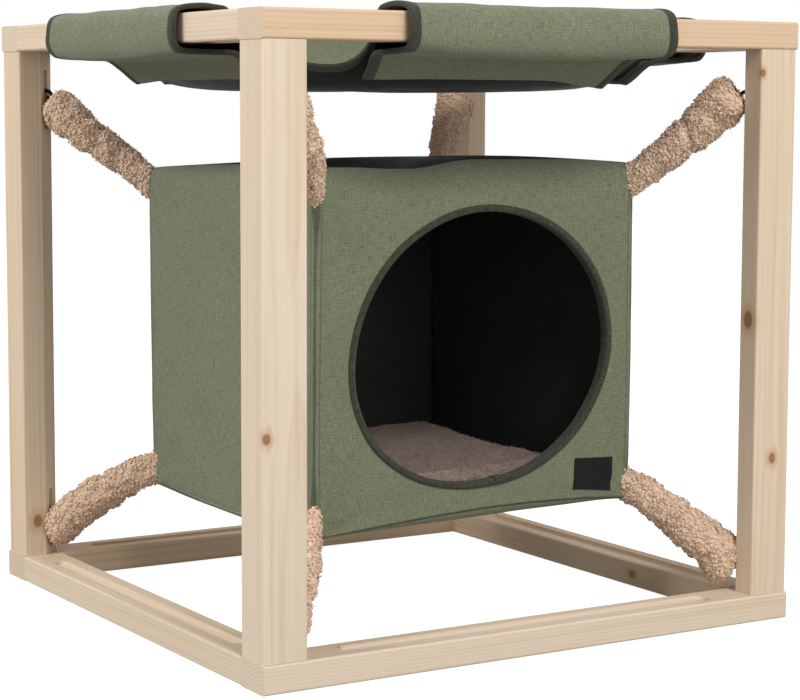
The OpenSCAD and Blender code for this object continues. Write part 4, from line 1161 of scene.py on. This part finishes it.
def make_flaps():
    """The four flaps, and the tape on their ends and round the bed's corners."""
    tapes = []
    n = len(FLAP_LINE)
    for side in FLAP_TURN:
        obj = cloth_grid("hammock_%s_flap" % side, 72, 2 * (n - 1), (FLAP_W, FLAP_LEN))
        a, b = span(obj)
        lay(obj, flap_place(side, a, (b + 1) / 2 * (n - 1)))
        mark(obj, "seam", (1 - np.abs(a)) * FLAP_W / 2)
        modify(obj, "SOLIDIFY", thickness=0.0034, offset=0, material_offset=1, material_offset_rim=2)
        dress(obj, "frame", [olive, jet, binding], ["hammock_flap_" + side], 60)
        k = np.arange(n, dtype=float)
        for end in (-1, 1):
            path = flap_place(side, np.full(n, float(end)), k)
            inner = flap_place(side, np.full(n, end * 0.95), k)
            name = "flap_tape_%s_%d" % (side, end)
            tapes.append(edge_tape(name, path, unit(inner - path), 0.0095, 0.0050))
    for corner, (sx, sy) in CORNERS.items():
        t = np.linspace(0, 1, 41)
        share = 1 - np.abs(2 * t - 1)
        reach = FLAP_SHARE + (1 - FLAP_SHARE) * share
        u = np.where(t <= 0.5, reach, 1.0) * sx
        v = np.where(t <= 0.5, 1.0, reach) * sy
        path = bed_place(u, v)
        inward = unit(bed_place(u * 0.965, v * 0.965) - path)
        tapes.append(edge_tape("corner_tape_" + corner, path, inward, 0.0085, 0.0052))
    dress(join(*tapes), "frame", [binding], ["hammock_binding"], 60)
    tapes[0].name = "hammock_tape"


def edge_tape(name, path, inward, wide, thick):
    """A binding folded over a sheet's edge, as a rounded closed outline along it."""
    run = unit(np.gradient(path, axis=0))
    up = unit(np.cross(run, inward))
    h = thick / 2
    profile = [(-0.0014, 0.0), (-0.0009, h * 0.7), (0.0008, h), (wide * 0.6, h * 0.98), (wide, h * 0.72),
               (wide, -h * 0.72), (wide * 0.6, -h * 0.98), (0.0008, -h), (-0.0009, -h * 0.7)]
    return sweep(name, path, inward, up, profile, False, (0.022, float(len(path)) * 0.008))


def make_fasteners():
    """Hook-and-loop strips between the flaps' tails and the bed."""
    parts = []
    for side, (turn, shift) in FLAP_TURN.items():
        obj = cloth_grid("loop_strip_" + side, 40, 6, (0.28, STRIP_W))
        a, b = span(obj)
        long, depth = FLAP_W / 2 - 0.024, SHEET_T / 2 + 0.0005
        share = (b + 1) / 2
        line = np.array([under_bed(BED_FACE, TAIL_REACH - STRIP_W * q, depth) for q in share])
        lay(obj, turned(stack(line[:, 0], shift + a * long, line[:, 1]), turn))
        close(obj)
        modify(obj, "SOLIDIFY", thickness=STRIP_T - 0.0004, offset=-1)
        parts.append(obj)
    dress(join(*parts), "frame", [jet], ["hammock_fasteners"])
    parts[0].name = "loop_strips"


# Stage, light and camera

def rays_of(nodes, *kinds):
    """1 for rays of these kinds, such as those that the camera sees, and 0 for others."""
    seen = nodes.node("ShaderNodeLightPath", out="Is %s Ray" % kinds[0])
    for kind in kinds[1:]:
        seen = nodes.sum("MAXIMUM", seen, nodes.node("ShaderNodeLightPath", out="Is %s Ray" % kind))
    return seen


def make_floor():
    """A white floor that shines for the camera only."""
    only()
    bpy.ops.mesh.primitive_plane_add(size=12, location=(0, 0, -0.0004))
    floor = bpy.context.object
    floor.name = "studio_floor"
    paint = Paint("studio_white", Base_Color=(0.36, 0.36, 0.36, 1), Emission_Strength=1.0, Roughness=0.9,
                  Specular_IOR_Level=0.1)
    seen = rays_of(paint, "Camera", "Glossy")
    paint.feed("Emission Color", paint.mix(seen, (0, 0, 0, 1), (0.91, 0.91, 0.91, 1)))
    wear(floor, paint)


def make_world():
    """White behind the object, and a dimmer white as light."""
    SCENE.world = SCENE.world or bpy.data.worlds.new("studio")
    SCENE.world.use_nodes = True
    SCENE.world.node_tree.nodes.clear()
    sky = Nodes(SCENE.world.node_tree)
    seen = rays_of(sky, "Camera", "Glossy", "Transmission")
    dim = sky.node("ShaderNodeBackground", inputs={0: (1.0, 0.99, 0.98, 1), 1: 0.45})
    white = sky.node("ShaderNodeBackground", inputs={0: (1, 1, 1, 1), 1: 1.0})
    both = sky.node("ShaderNodeMixShader", inputs={0: seen, 1: dim, 2: white})
    sky.node("ShaderNodeOutputWorld", inputs={0: both})


# Each light's name, place, aim, size in metres and power in watts
LIGHTS = (
    ("front_high", (-0.2, -2.3, 2.25), (0, -0.1, 0.35), 1.0, 43),
    ("front_low", (0.3, -3.0, 0.7), (0, 0, 0.3), 1.8, 27),
    ("left_soft", (-2.7, 0.2, 1.75), (0, 0, 0.3), 1.6, 59),
)


def make_lights():
    for name, at, aim, size, power in LIGHTS:
        only()
        bpy.ops.object.light_add(type="AREA", location=at)
        lamp = bpy.context.object
        lamp.name = name
        lamp.data.shape, lamp.data.size, lamp.data.energy = "SQUARE", size, power
        lamp.rotation_euler = (Vector(aim) - Vector(at)).to_track_quat("-Z", "Y").to_euler()


# The photograph's size in pixels, and the camera found from the frame's edges in it: its focal length and
# the middle of its lens in pixels, its place, and its turn, tilt and roll
PHOTO_W, PHOTO_H = 800, 700
FOCAL, LENS_MIDDLE, SENSOR = 2211.2, (396.3, 330.1), 36.0
CAMERA_AT = (-1.1892, -1.9788, 0.5148)
AZIMUTH, TILT, ROLL = math.radians(31.38), math.radians(5.75), math.radians(0.20)


def make_camera():
    """The photograph's view: from the front, left of the middle and a little above the den's roof."""
    data = bpy.data.cameras.new("photo_camera")
    camera = link(bpy.data.objects.new("photo_camera", data))
    east, north, c, s = math.sin(AZIMUTH), math.cos(AZIMUTH), math.cos(ROLL), math.sin(ROLL)
    ahead = Vector((east * math.cos(TILT), north * math.cos(TILT), -math.sin(TILT)))
    right = Vector((north, -east, 0))
    up = right.cross(ahead)
    turn = Matrix((right * c + up * s, up * c - right * s, -ahead)).transposed()
    camera.matrix_world = Matrix.Translation(CAMERA_AT) @ turn.to_4x4()
    data.sensor_width, data.lens = SENSOR, FOCAL / PHOTO_W * SENSOR
    data.shift_x = (PHOTO_W / 2 - LENS_MIDDLE[0]) / PHOTO_W
    data.shift_y = (LENS_MIDDLE[1] - PHOTO_H / 2) / PHOTO_W
    data.clip_start, data.clip_end = 0.05, 50
    SCENE.camera = camera


make_camera()
dress_timber()
make_den()
make_door_binding()
make_label()
make_welts()
for arm, (on_top, at_corner) in enumerate((t, c) for t in (True, False) for c in CORNERS):
    make_arm(at_corner, on_top, 11 + arm)
make_straps()
make_mat()
make_bed()
make_flaps()
make_fasteners()
make_floor()
make_world()
make_lights()
SCENE.view_settings.view_transform = "Standard"
